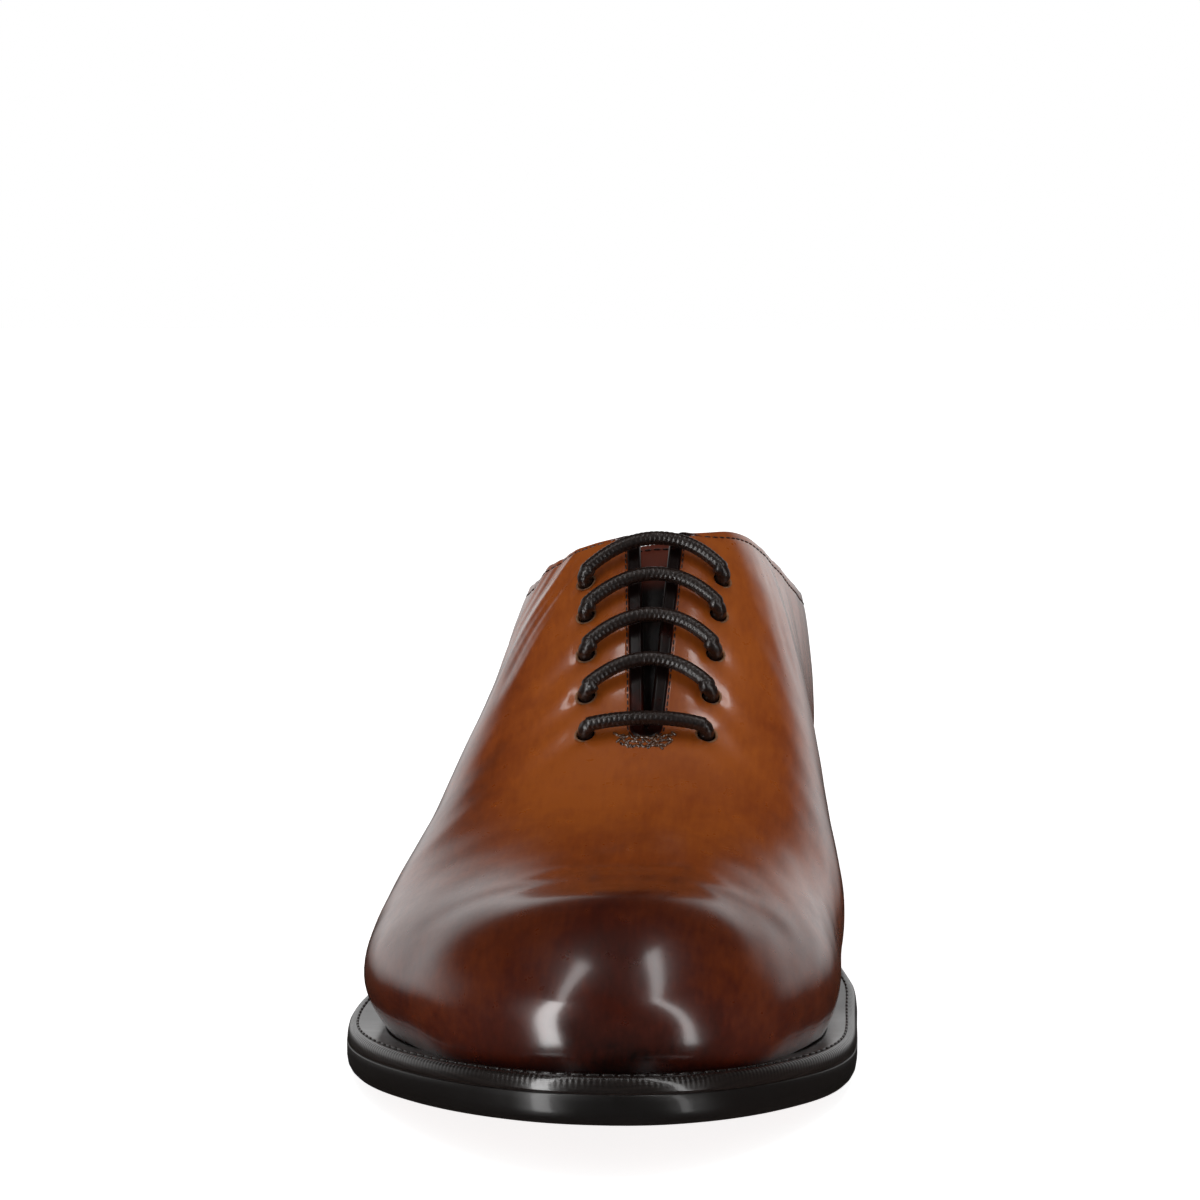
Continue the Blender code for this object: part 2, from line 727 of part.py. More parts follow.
def make_lace(cord):
    """One round cord: five bars over the throat, joined by runs under the facings."""
    stretches = [lace_end_lane()]
    side = 1
    came_from = -1
    for pair in reversed(EYELETS):
        stretches.append(through_eyelet(side, pair, came_from)[::-1])
        stretches.append(lace_bar(side, pair))
        side = -side
        came_from = 1
        if pair > 0:
            stretches.append(through_eyelet(side, pair, -1))
            x, y = eyelet(side, pair - 0.5)
            stretches.append(arch_point([x], [y], [-LACE_DEPTH]))
    stretches.append(through_eyelet(side, 0, 1))
    x, y = eyelet(side, 0)
    stretches.append(arch_point([x], [y + LACE_LIFT + LACE_TAIL], [-LACE_DEPTH]))
    points = to_world(np.concatenate(stretches))
    curve = bpy.data.curves.new("lace", "CURVE")
    curve.dimensions = "3D"
    curve.bevel_depth = LACE_RADIUS
    curve.bevel_resolution = 2
    curve.use_fill_caps = True
    spline = curve.splines.new("POLY")
    spline.points.add(len(points) - 1)
    spline.points.foreach_set("co", np.concatenate([points, np.ones((len(points), 1))], 1).ravel())
    return add_object("lace", curve, cord)


clear_scene()
make_upper(paint("calf_leather_tan", (0.28, 0.08, 0.02), 0.3))
make_tongue(paint("tongue_leather", (0.20, 0.06, 0.02), 0.4))
make_insole(paint("insole_leather", (0.45, 0.28, 0.14), 0.6))
make_welt(paint("welt_leather_black", (0.02, 0.015, 0.012), 0.4))
make_heel_rand(paint("rand_leather_black", (0.02, 0.015, 0.012), 0.4))
make_outsole(paint("sole_leather", (0.03, 0.015, 0.01), 0.35))
make_heel(
    paint("heel_leather_black", (0.02, 0.015, 0.012), 0.35),
    paint("top_piece_rubber", (0.02, 0.02, 0.02), 0.6),
)
make_lace(paint("waxed_cotton_brown", (0.03, 0.012, 0.008), 0.5))
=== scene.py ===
"""Looks of a man's whole cut oxford, right shoe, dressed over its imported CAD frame.

The shoe's own frame is used below: x across towards the inner side, y forward from the heel's back, z up.
Lengths are in metres. Each section makes one piece of the shoe, from its shape to its material.
"""

import math

import bpy
import numpy as np
from mathutils import Matrix, Vector


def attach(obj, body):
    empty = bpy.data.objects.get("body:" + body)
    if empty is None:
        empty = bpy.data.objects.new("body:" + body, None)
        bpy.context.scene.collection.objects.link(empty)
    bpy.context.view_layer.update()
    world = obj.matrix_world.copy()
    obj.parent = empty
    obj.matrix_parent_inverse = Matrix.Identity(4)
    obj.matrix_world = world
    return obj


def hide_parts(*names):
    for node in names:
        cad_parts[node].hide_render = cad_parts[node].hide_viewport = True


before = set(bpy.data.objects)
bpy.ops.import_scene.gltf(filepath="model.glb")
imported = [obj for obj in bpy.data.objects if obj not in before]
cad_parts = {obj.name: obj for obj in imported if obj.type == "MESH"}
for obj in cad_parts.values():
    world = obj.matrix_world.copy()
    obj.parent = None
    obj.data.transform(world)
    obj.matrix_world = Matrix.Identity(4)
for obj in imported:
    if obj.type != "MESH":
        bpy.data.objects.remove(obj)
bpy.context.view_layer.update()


# Camera
# Low in front of the toe and a little to the inner side, a long lens from about half a metre.
CAMERA_PLACE = (0.0408, -0.6485, 0.1645)
CAMERA_TURN = (83.185, 0, 4.132)
CAMERA_LENS = 85.68
CAMERA_SENSOR = 36

camera = bpy.data.objects.new("camera", bpy.data.cameras.new("camera"))
camera.location = CAMERA_PLACE
camera.rotation_euler = [math.radians(angle) for angle in CAMERA_TURN]
camera.data.lens = CAMERA_LENS
camera.data.sensor_width = CAMERA_SENSOR
bpy.context.scene.collection.objects.link(camera)
bpy.context.scene.camera = camera
bpy.context.scene.view_settings.view_transform = "Standard"


# Floor and light
# A plain pale floor in a white room, four tall softboxes that only the polish mirrors, and one soft light
# overhead.
FLOOR_SIZE = 12
FLOOR_DROP = 0.0004
FLOOR_GLOW = 0.86
SOFT_FILL = 0.30
MIRRORED_DARK = "#1c1a19"
MIRRORED_WALL = "#d8d8d8"
SHOE_AIM = (0, -0.14, 0.03)
OVERHEAD_PLACE = (0, 0, 1.6)
OVERHEAD_SIZE = (1.2, 1.2)
OVERHEAD_POWER = 8
# Each softbox's name, place, size, power in watts, and the line that its height lies along.
SOFTBOXES = [
    ("softbox_left", (-0.49, -0.64, 0.02), (0.17, 1.00), 5.5, (0, 0, 1)),
    ("softbox_left_high", (-0.33, -0.38, 0.72), (0.09, 0.80), 1.1, (0.33, 0.70, 0.45)),
    ("softbox_right", (0.70, -0.56, 0.06), (0.11, 1.20), 2.4, (-0.33, -0.12, 0.94)),
    ("softbox_right_high", (0.38, -0.32, 0.74), (0.10, 0.80), 1.3, (-0.33, 0.70, 0.45)),
]


def linear(colour):
    """Linear colour and alpha of an sRGB hex colour: c/12.92, or ((c + 0.055)/1.055)^2.4 above 0.04045."""
    parts = [int(colour[at : at + 2], 16) / 255 for at in (1, 3, 5)]
    return [c / 12.92 if c <= 0.04045 else ((c + 0.055) / 1.055) ** 2.4 for c in parts] + [1.0]


def add_node(tree, kind, inputs=(), **settings):
    """A new node; settings are its attributes, inputs its sockets' values or the sockets they link from."""
    node = tree.nodes.new(kind)
    for name, value in settings.items():
        setattr(node, name, value)
    for socket, value in dict(inputs).items():
        if isinstance(value, bpy.types.NodeSocket):
            tree.links.new(value, node.inputs[socket])
        else:
            node.inputs[socket].default_value = value
    return node


def math_node(tree, operation, a, b=0.0, c=0.0):
    """The result of one operation on up to three numbers or sockets."""
    return add_node(tree, "ShaderNodeMath", {0: a, 1: b, 2: c}, operation=operation).outputs[0]


def ramp(tree, factor, *stops):
    """Colour ramp through (place, sRGB hex) stops."""
    node = add_node(tree, "ShaderNodeValToRGB", {0: factor})
    for place, colour in stops[1:-1]:
        node.color_ramp.elements.new(place).color = linear(colour)
    for end, (place, colour) in ((0, stops[0]), (-1, stops[-1])):
        node.color_ramp.elements[end].position = place
        node.color_ramp.elements[end].color = linear(colour)
    return node.outputs[0]


def make_world():
    """White to the eye and a dim even fill; reflections see a pale wall behind the heel, low down."""
    world = bpy.data.worlds.new("white studio")
    world.use_nodes = True
    tree = world.node_tree
    tree.nodes.clear()
    place = add_node(tree, "ShaderNodeTexCoord").outputs["Generated"]
    across, ahead, up = add_node(tree, "ShaderNodeSeparateXYZ", {0: place}).outputs
    turned = math_node(tree, "MULTIPLY_ADD", across, -0.28, 0.2)
    wall = ramp(tree, math_node(tree, "ADD", ahead, turned), (0.45, "#000000"), (0.95, "#ffffff"))
    raised = math_node(tree, "MULTIPLY_ADD", up, 0.5, 0.5)
    levels = (0.42, "#000000"), (0.50, MIRRORED_WALL), (0.61, MIRRORED_WALL), (0.73, "#000000")
    height = ramp(tree, raised, *levels)
    dark = linear(MIRRORED_DARK)
    light = add_node(tree, "ShaderNodeMix", {0: wall, 6: dark, 7: height}, data_type="RGBA").outputs[2]
    lifted = add_node(tree, "ShaderNodeMix", {0: 1.0, 6: light, 7: dark}, data_type="RGBA", blend_type="ADD")
    ray = add_node(tree, "ShaderNodeLightPath").outputs

    def background(colour, strength):
        return add_node(tree, "ShaderNodeBackground", {0: colour, 1: strength}).outputs[0]

    def choose(which, first, second):
        return add_node(tree, "ShaderNodeMixShader", {0: which, 1: first, 2: second}).outputs[0]

    soft = background(linear("#ffffff"), SOFT_FILL)
    unseen = choose(ray["Is Glossy Ray"], soft, background(lifted.outputs[2], 1.0))
    shown = choose(ray["Is Camera Ray"], unseen, background(linear("#ffffff"), 1.0))
    add_node(tree, "ShaderNodeOutputWorld", {0: shown})
    bpy.context.scene.world = world


def add_light(name, place, aim, size, power, along=(0, 0, 1)):
    """A soft rectangle that faces aim; its height is the line along, less its part towards aim."""
    data = bpy.data.lights.new(name, "AREA")
    data.shape = "RECTANGLE"
    data.size, data.size_y = size
    data.energy = power
    light = bpy.data.objects.new(name, data)
    light.location = place
    facing = (Vector(aim) - Vector(place)).normalized()
    upright = (Vector(along) - Vector(along).dot(facing) * facing).normalized()
    light.rotation_euler = Matrix((upright.cross(-facing), upright, -facing)).transposed().to_euler()
    bpy.context.scene.collection.objects.link(light)
    return light


def make_floor():
    """One square, half its size to each side, just under the sole."""
    mesh = bpy.data.meshes.new("floor")
    half = FLOOR_SIZE / 2
    corners = [(x * half, y * half, -FLOOR_DROP) for x, y in ((-1, -1), (1, -1), (1, 1), (-1, 1))]
    mesh.from_pydata(corners, [], [(0, 1, 2, 3)])
    floor = bpy.data.objects.new("floor", mesh)
    material = bpy.data.materials.new("matt white studio floor")
    material.use_nodes = True
    shader = material.node_tree.nodes["Principled BSDF"]
    shader.inputs["Base Color"].default_value = linear("#f4f4f3")
    shader.inputs["Roughness"].default_value = 0.9
    shader.inputs["Emission Color"].default_value = linear("#ffffff")
    shader.inputs["Emission Strength"].default_value = FLOOR_GLOW
    mesh.materials.append(material)
    floor.visible_glossy = False
    bpy.context.scene.collection.objects.link(floor)


make_world()
make_floor()
for name, place, size, power, along in SOFTBOXES:
    add_light(name, place, SHOE_AIM, size, power, along).visible_diffuse = False
add_light("overhead", OVERHEAD_PLACE, (0, 0, 0), OVERHEAD_SIZE, OVERHEAD_POWER).visible_glossy = False


# Upper
# One piece of polished calf, cut whole and lasted wet over the form, so its one seam is at the back.
# It is folded in along the top line, bound along the throat, and pulled in at each eyelet by the lace.
LAST_LENGTH = 0.296
BALL_WIDTH = 0.092
INSTEP_RISE = 0.090
HEEL_HEIGHT = 0.024
TOE_SPRING = 0.009
TOE_ROUNDING = 0.062
HEEL_ROUNDING = 0.031
TOE_CROWN = 0.040
TOE_FULLNESS = 2.2
HEEL_FULLNESS = 2.3
ARCH_ACROSS = 2.2
ARCH_UP = 1.9
WALL = 0.002
BACK_HEIGHT = 0.051
BACK_LEAN = 0.0065
COLLAR_DIP = 0.011
FACING_TOP = 0.148
FACING_CORNER = 0.0035
THROAT_END = 0.1925
THROAT_WIDTH_TOP = 0.0086
THROAT_WIDTH_END = 0.0024
THROAT_ASIDE = 0.0025
EYELET_PAIRS = 5
EYELET_MARGIN = 0.0092
EYELET_PITCH = 0.0089
EYELET_INSET = 0.0119
EYELET_RADIUS = 0.0021
SEAT_GAP = 0.0003
WELT_THICKNESS = 0.003
WELT_REACH = 0.0032
OUTSOLE_THICKNESS = 0.0059
BINDING_WIDTH = 0.0023
BINDING_THICKNESS = 0.0003
FINE = 0.0001
TINY = 1e-12
EDGE_STEP = 0.00025
EDGE_STEPS = 66
BODY_STEPS = 56
HALVINGS = 24
LIP_STEPS = 10
LIP_SWELL = 0.0007
FAN_RIBS = 241
BACK_RIBS = 91


def table(columns, *rows):
    """The rows as one array for each named column."""
    return dict(zip(columns.split(), np.array(rows, float).T))


# Half widths of the feather line, where the upper turns in under the last, as shares of BALL_WIDTH.
FEATHER = table(
    "station medial lateral",
    (0.00, 0.300, 0.310),
    (0.11, 0.325, 0.332),
    (0.17, 0.325, 0.338),
    (0.25, 0.300, 0.345),
    (0.34, 0.272, 0.352),
    (0.42, 0.276, 0.372),
    (0.50, 0.326, 0.395),
    (0.58, 0.386, 0.462),
    (0.65, 0.436, 0.514),
    (0.71, 0.446, 0.543),
    (0.78, 0.444, 0.538),
    (0.86, 0.414, 0.492),
    (0.93, 0.370, 0.435),
    (1.00, 0.335, 0.385),
)

# How far the upper swells beyond the feather line, as shares of BALL_WIDTH, and the sole beyond that, of
# WELT_REACH.
SWELL = table(
    "station medial lateral sole",
    (0.00, 0.027, 0.027, 0.15),
    (0.15, 0.032, 0.028, 0.15),
    (0.30, 0.130, 0.042, -2.05),
    (0.45, 0.122, 0.044, -1.85),
    (0.60, 0.067, 0.040, 0.25),
    (0.72, 0.031, 0.046, 0.90),
    (0.85, 0.030, 0.044, 1.00),
    (1.00, 0.024, 0.024, 1.00),
)

# Heights above the feather line as shares of INSTEP_RISE, and how far the ridge lies aside, of BALL_WIDTH.
SECTIONS = table(
    "station widest ridge aside",
    (0.00, 0.245, 0.870, 0.000),
    (0.15, 0.245, 0.920, 0.000),
    (0.30, 0.267, 1.010, 0.012),
    (0.40, 0.278, 1.020, 0.030),
    (0.50, 0.256, 0.972, 0.041),
    (0.58, 0.208, 0.806, 0.045),
    (0.66, 0.165, 0.592, 0.046),
    (0.74, 0.125, 0.462, 0.042),
    (0.82, 0.112, 0.392, 0.036),
    (0.90, 0.105, 0.342, 0.024),
    (1.00, 0.100, 0.262, 0.000),
)

# The underside of the sole: its height as shares of HEEL_HEIGHT and of TOE_SPRING.
UNDERSIDE = table(
    "station heel spring",
    (0.00, 1.000, 0.00),
    (0.25, 0.900, 0.00),
    (0.34, 0.700, 0.00),
    (0.42, 0.455, 0.00),
    (0.50, 0.235, 0.00),
    (0.57, 0.085, 0.00),
    (0.64, 0.000, 0.00),
    (0.72, 0.000, 0.00),
    (0.79, 0.000, 0.09),
    (0.86, 0.000, 0.31),
    (0.93, 0.000, 0.63),
    (1.02, 0.000, 1.10),
)

# The top line from the heel's back to the facing: how far it dips on each side, as shares of COLLAR_DIP.
COLLAR = table(
    "share medial lateral",
    (0.00, 0.00, 0.00),
    (0.17, 0.25, 0.33),
    (0.34, 0.56, 0.75),
    (0.51, 0.67, 0.99),
    (0.68, 0.48, 0.95),
    (0.82, 0.00, 0.80),
    (0.93, -0.24, 0.50),
    (1.00, 0.00, 0.00),
)


def unit(vectors):
    """Each vector over its length."""
    return vectors / np.maximum(np.linalg.norm(vectors, axis=-1, keepdims=True), TINY)


def run_length(points):
    """The length along a path at each of its points."""
    return np.concatenate([[0], np.cumsum(np.linalg.norm(np.diff(points, axis=0), axis=1))])


def along_path(at, along, points):
    """Points at given lengths along a path, between its own in straight lines."""
    return np.stack([np.interp(at, along, points[:, axis]) for axis in range(3)], 1)


def full_turn(count):
    """Equal angles round a circle."""
    return np.linspace(0, 2 * math.pi, count + 1)[:-1]


def with_height(plan, z):
    """Points from a plan and its heights."""
    return np.concatenate([plan, z[..., None]], -1)


def smooth(knots, values, at):
    """Natural cubic spline: second derivatives solve the tridiagonal system and make each cubic."""
    step = np.diff(knots)
    matrix = np.eye(len(knots))
    inner = np.arange(1, len(knots) - 1)
    matrix[inner, inner - 1] = step[:-1]
    matrix[inner, inner] = 2 * (step[:-1] + step[1:])
    matrix[inner, inner + 1] = step[1:]
    bend = np.linalg.solve(matrix, np.concatenate([[0], 6 * np.diff(np.diff(values) / step), [0]]))
    at = np.clip(at, knots[0], knots[-1])
    left = np.clip(np.searchsorted(knots, at) - 1, 0, len(knots) - 2)
    ahead = knots[left + 1] - at
    behind = at - knots[left]
    width = step[left]
    cubic = (bend[left] * ahead**3 + bend[left + 1] * behind**3) / (6 * width)
    start = values[left] / width - bend[left] * width / 6
    end = values[left + 1] / width - bend[left + 1] * width / 6
    return cubic + start * ahead + end * behind


def monotone(knots, values, at):
    """Cubic Hermite with harmonic mean tangents, so a level stretch stays level."""
    step = np.diff(knots)
    slope = np.diff(values) / step
    level = slope[:-1] * slope[1:] <= 0
    total = np.where(level, 1, slope[:-1] + slope[1:])
    tangent = np.concatenate([slope[:1], np.where(level, 0, 2 * slope[:-1] * slope[1:] / total), slope[-1:]])
    at = np.clip(at, knots[0], knots[-1])
    left = np.clip(np.searchsorted(knots, at) - 1, 0, len(knots) - 2)
    t = (at - knots[left]) / step[left]
    blend = (1 + 2 * t) * (1 - t) ** 2 * values[left] + t * t * (3 - 2 * t) * values[left + 1]
    return blend + t * (1 - t) * step[left] * ((1 - t) * tangent[left] - t * tangent[left + 1])


def read(rows, side, y):
    """A column at y; side is a column's name, or +1 for medial and -1 for lateral."""
    station = np.asarray(y, float) / LAST_LENGTH
    if isinstance(side, str):
        return smooth(rows["station"], rows[side], station)
    medial = smooth(rows["station"], rows["medial"], station)
    lateral = smooth(rows["station"], rows["lateral"], station)
    return np.where(np.asarray(side) > 0, medial, lateral)


def closing(y, grow):
    """(1 - t^n)^(1/n) towards the toe's tip times the same towards the heel's back."""
    toe = np.clip((y - (LAST_LENGTH - TOE_ROUNDING)) / (TOE_ROUNDING + grow), 0, 1)
    heel = np.clip((HEEL_ROUNDING - y) / (HEEL_ROUNDING + grow), 0, 1)
    toe_part = (1 - toe**TOE_FULLNESS) ** (1 / TOE_FULLNESS)
    return toe_part * (1 - heel**HEEL_FULLNESS) ** (1 / HEEL_FULLNESS)


def half_width(side, y, grow):
    """Feather line's half width, grown, times the closing at toe and heel."""
    return (read(FEATHER, side, y) * BALL_WIDTH + grow) * closing(y, grow)


def swell(side, y):
    """How far the widest line lies beyond the feather line."""
    return read(SWELL, side, y) * BALL_WIDTH


def sole_reach(side, y):
    """How far the sole lies beyond the feather line: the swell + a share of the welt's reach."""
    return swell(side, y) + read(SWELL, "sole", y) * WELT_REACH


def underside(y):
    """The sole's bottom: share of the heel's height + share of the toe's spring."""
    station = np.asarray(y, float) / LAST_LENGTH
    heel = monotone(UNDERSIDE["station"], UNDERSIDE["heel"], station)
    spring = monotone(UNDERSIDE["station"], UNDERSIDE["spring"], station)
    return heel * HEEL_HEIGHT + spring * TOE_SPRING


def welt_base(y):
    """The bottom + the outsole + a gap."""
    return underside(y) + OUTSOLE_THICKNESS + SEAT_GAP


def feather_z(y):
    """The welt's base + the welt + a gap."""
    return welt_base(y) + WELT_THICKNESS + SEAT_GAP


def widest_z(y):
    """The feather line + a share of the instep's rise."""
    return feather_z(y) + read(SECTIONS, "widest", y) * INSTEP_RISE


def ridge_x(y):
    """How far the ridge lies aside, as a share of the ball's width."""
    return read(SECTIONS, "aside", y) * BALL_WIDTH


def ridge_z(y):
    """Widest level + rise (1 - t^n)^(1/n), t running over the last TOE_CROWN before the toe's tip."""
    share = np.clip((y - (LAST_LENGTH + swell(1, LAST_LENGTH) - TOE_CROWN)) / TOE_CROWN, 0, 1)
    height = feather_z(y) + read(SECTIONS, "ridge", y) * INSTEP_RISE - widest_z(y)
    return widest_z(y) + height * (1 - share**TOE_FULLNESS) ** (1 / TOE_FULLNESS)


def arch_z(x, y):
    """Widest level + rise (1 - t^p)^(1/q), t from 0 on the ridge to 1 at the widest line."""
    side = np.where(x >= ridge_x(y), 1, -1)
    reach = side * half_width(side, y, swell(side, y)) - ridge_x(y)
    share = np.clip((x - ridge_x(y)) / np.where(reach == 0, 1, reach), 0, 1)
    return widest_z(y) + (ridge_z(y) - widest_z(y)) * (1 - share**ARCH_ACROSS) ** (1 / ARCH_UP)


def throat_half(y):
    """Half the throat's width, widened at the top by the rounding of the facings' corners."""
    share = np.clip((THROAT_END - y) / (THROAT_END - FACING_TOP), 0, 1)
    corner = np.clip(1 - (y - FACING_TOP) / FACING_CORNER, 0, 1)
    rounding = FACING_CORNER * (1 - np.sqrt(1 - corner**2))
    return (THROAT_WIDTH_END + (THROAT_WIDTH_TOP - THROAT_WIDTH_END) * share) / 2 + rounding


def throat_x(y):
    """The throat's line, a fixed way to the outer side of the ridge."""
    return ridge_x(y) - THROAT_ASIDE


BACK_TOP = feather_z(0) + BACK_HEIGHT


def collar_z(side, y):
    """Top line: back height + rise to the facing's corner by share cubed - dip."""
    corner = arch_z(throat_x(FACING_TOP) + side * throat_half(FACING_TOP), FACING_TOP)
    share = np.clip(y / FACING_TOP, 0, 1)
    medial = smooth(COLLAR["share"], COLLAR["medial"], share)
    lateral = smooth(COLLAR["share"], COLLAR["lateral"], share)
    return BACK_TOP + (corner - BACK_TOP) * share**3 - np.where(side > 0, medial, lateral) * COLLAR_DIP


def lean(y, z):
    """How far the back leans in: the lean times height squared, fading out towards the facing."""
    above = np.maximum((z - widest_z(y)) / (BACK_TOP - widest_z(y)), 0)
    fade = 1 - np.clip(y / FACING_TOP, 0, 1)
    return BACK_LEAN * above**2 * fade**2 * (3 - 2 * fade)


def wall_x(side, y, z):
    """Outside of the wall at a height: an arch above the widest level, drawn in below it."""
    low = np.clip((widest_z(y) - z) / (widest_z(y) - feather_z(y)), 0, 1)
    high = np.clip((z - widest_z(y)) / np.maximum(ridge_z(y) - widest_z(y), FINE), 0, 1)
    full = half_width(side, y - lean(y, z), swell(side, y) * (1 - low**2))
    aside = side * ridge_x(y)
    arch = aside + (full - aside) * (1 - high**ARCH_UP) ** (1 / ARCH_ACROSS)
    return np.where(full > 0, np.where(z < widest_z(y), full, arch), -LAST_LENGTH)


def rays(ys, side):
    """Rays straight across to one side, from the throat's line at each y."""
    ys = np.asarray(ys, float)
    return np.stack([throat_x(ys), ys, np.full(ys.shape, float(side)), np.zeros(ys.shape)], 1)


def fan(y, angles):
    """Rays turning about a point of the throat's line; angle 0 is medial and a quarter turn is the toe."""
    origin = np.broadcast_to([throat_x(y), y], (len(angles), 2))
    return np.concatenate([origin, np.stack([np.cos(angles), np.sin(angles)], 1)], 1)


def march(inside, shape):
    """Distance along each ray at which the point leaves the shape, by halving the interval over and over."""
    near = np.zeros(shape)
    far = np.full(shape, LAST_LENGTH)
    for _ in range(HALVINGS):
        middle = (near + far) / 2
        within = inside(middle)
        near = np.where(within, middle, near)
        far = np.where(within, far, middle)
    return near


def ring(loop, grow):
    """Where the rays cross the feather line grown by grow(side, y)."""
    x0, y0, dx, dy = loop.T
    side = np.where(dx > 0, 1, -1)

    def inside(distance):
        x = x0 + distance * dx
        y = y0 + distance * dy
        half = half_width(side, y, grow(side, y))
        return (x * side < half) & (half > 0)

    distance = march(inside, len(loop))
    return np.stack([x0 + distance * dx, y0 + distance * dy], 1)


def shell_points(loop, samples=70):
    """Points of the upper's outside along each ray, from the feather line up to its top edge."""
    x0, y0, dx, dy = [column[:, None] for column in loop.T]
    side = np.where(dx > 0, 1, -1)
    share = np.linspace(0, 1, samples)[None, :]
    shape = (len(loop), share.size)

    def below_widest(y):
        return feather_z(y) + (widest_z(y) - feather_z(y)) * share

    def above_widest(y):
        rise = np.maximum(ridge_z(y) - widest_z(y), FINE)
        end = np.arcsin(np.clip((collar_z(side, y) - widest_z(y)) / rise, 0, 1))
        return widest_z(y) + rise * np.sin(end * share)

    def on_level(level):
        def inside(distance):
            y = y0 + distance * dy
            return (x0 + distance * dx) * side < wall_x(side, y, level(y))

        distance = march(inside, shape)
        y = y0 + distance * dy
        return distance, np.stack([x0 + distance * dx, y, level(y)], 2)

    reach, low = on_level(below_widest)
    walls = on_level(above_widest)[1]
    slit = throat_half(y0)
    distance = slit + (reach[:, -1:] - slit) * np.cos(share * math.pi / 2)
    x = x0 + distance * dx
    y = y0 + distance * dy
    arched = np.stack([x, y, arch_z(x, y)], 2)
    return np.concatenate([low[:, :-1], np.where((y0 >= FACING_TOP)[:, :, None], arched, walls)], 1)


def cut_from_top(lines):
    """Each line cut at fixed distances from its top edge, then in equal shares of what is left below."""
    fixed = np.arange(EDGE_STEPS) * EDGE_STEP
    share = np.linspace(0, 1, BODY_STEPS + 1)[1:]
    cut = []
    wanted = []
    for line in lines[:, ::-1]:
        along = run_length(line)
        wanted.append(np.concatenate([fixed, fixed[-1] + (along[-1] - fixed[-1]) * share]))
        cut.append(along_path(wanted[-1], along, line))
    return np.array(cut), np.array(wanted)


def outward(points):
    """Unit normals of a grid closed round its first index, by the cross product of its two directions."""
    around = np.roll(points, -1, 0) - np.roll(points, 1, 0)
    return unit(np.cross(around, np.gradient(points, axis=1)))


def arch_point(x, y, height):
    """A point at a height over the upper's outside, along the normal (-dz/dx, -dz/dy, 1)."""
    x = np.asarray(x, float)
    y = np.asarray(y, float)
    slope_x = (arch_z(x + FINE, y) - arch_z(x - FINE, y)) / (2 * FINE)
    slope_y = (arch_z(x, y + FINE) - arch_z(x, y - FINE)) / (2 * FINE)
    normal = unit(np.stack([-slope_x, -slope_y, np.ones(np.shape(slope_x))], -1))
    return np.stack(np.broadcast_arrays(x, y, arch_z(x, y)), -1) + normal * np.asarray(height)[..., None]


def arch_direction(x, y):
    """The arch's unit normal: its point at height 1 less its point at height 0."""
    return unit(arch_point(x, y, np.ones(np.shape(x))) - arch_point(x, y, np.zeros(np.shape(x))))


ALONG = np.linspace(-WELT_REACH, LAST_LENGTH, 2000)
WIDEST = [half_width(side, ALONG, sole_reach(side, ALONG)).max() for side in (1, -1)]
MIDDLE_X = (WIDEST[0] - WIDEST[1]) / 2
TIP_Y = LAST_LENGTH + float(sole_reach(1, LAST_LENGTH))
BACK_Y = -float(sole_reach(1, 0))
MIDDLE_Y = (TIP_Y + BACK_Y) / 2


def to_world(points):
    """The shoe's x less its middle, its middle less y, and z."""
    x, y, z = np.moveaxis(np.asarray(points, float), -1, 0)
    return np.stack([x - MIDDLE_X, MIDDLE_Y - y, z], -1)


def eyelet(side, pair):
    """An eyelet's x and y: the throat's edge + the inset, and the margin + a pitch for each pair."""
    y = FACING_TOP + EYELET_MARGIN + pair * EYELET_PITCH
    return float(throat_x(y) + side * (throat_half(y) + EYELET_INSET)), y


EYELETS = [(side, pair, *eyelet(side, pair)) for side in (-1, 1) for pair in range(EYELET_PAIRS)]


def hill(value, width):
    """exp(-(value/width)^2)"""
    return np.exp(-((value / width) ** 2))


def step_up(value):
    """t^2 (3 - 2t), from 0 to 1"""
    t = np.clip(value, 0, 1)
    return t * t * (3 - 2 * t)


def ripple(x, y, z, size, seed):
    """A third of the sum of five sine waves in fixed odd directions, from size long to twice that."""
    total = 0
    for k, a in enumerate(np.arange(5) * 2.4 + seed):
        along = x * math.cos(a) + y * math.sin(a) + z * math.cos(2.3 * a + seed)
        total = total + np.sin(along * 2 * math.pi / (size * (1 + 0.23 * k)) + 7.1 * a)
    return total / 3


# Marks in the leather, each with its height, inwards where negative, and its width; lengths in metres.
BINDING_GROOVE = -0.00018
BINDING_GROOVE_WIDTH = 0.0003
TURNED_EDGE_GROOVE = -0.00012
TURNED_EDGE_WIDTH = 0.0006
TURNED_EDGE_AT = 0.0022
EYELET_SINK = -0.00045
EYELET_SINK_WIDTH = 0.0042
PUCKER_GROOVE = -0.00036
PUCKER_RIDGE = 0.00025
PUCKER_WIDTH = 0.0016
PUCKER_LENGTH = 0.013
OUTER_FOLDS = -0.00042
OUTER_FOLD_PITCH = 0.0085
INNER_FOLDS = -0.0002
INNER_FOLD_PITCH = 0.0130
CREST_Y = LAST_LENGTH - 0.042
CREST_HOLLOW = -0.0007
CREST_HOLLOW_LENGTH = 0.0042
CREST_HOLLOW_WIDTH = 0.012
TOE_FULL = 0.0026
TOE_FULL_LENGTH = 0.0140
TOE_FULL_WIDTH = 0.038
CREST = 0.00022
CREST_LENGTH = 0.0034
CREST_WIDTH = 0.028
BACK_SEAM_GROOVE = -0.00045
BACK_SEAM_WIDTH = 0.0006
BACK_SEAM_SWELL = 0.00015
BACK_SEAM_SWELL_WIDTH = 0.0010
BACK_SEAM_SWELL_AT = 0.0016
UNEVEN_BROAD = 0.00016
UNEVEN_BROAD_SIZE = 0.031
UNEVEN_FINE = 0.00006
UNEVEN_FINE_SIZE = 0.012


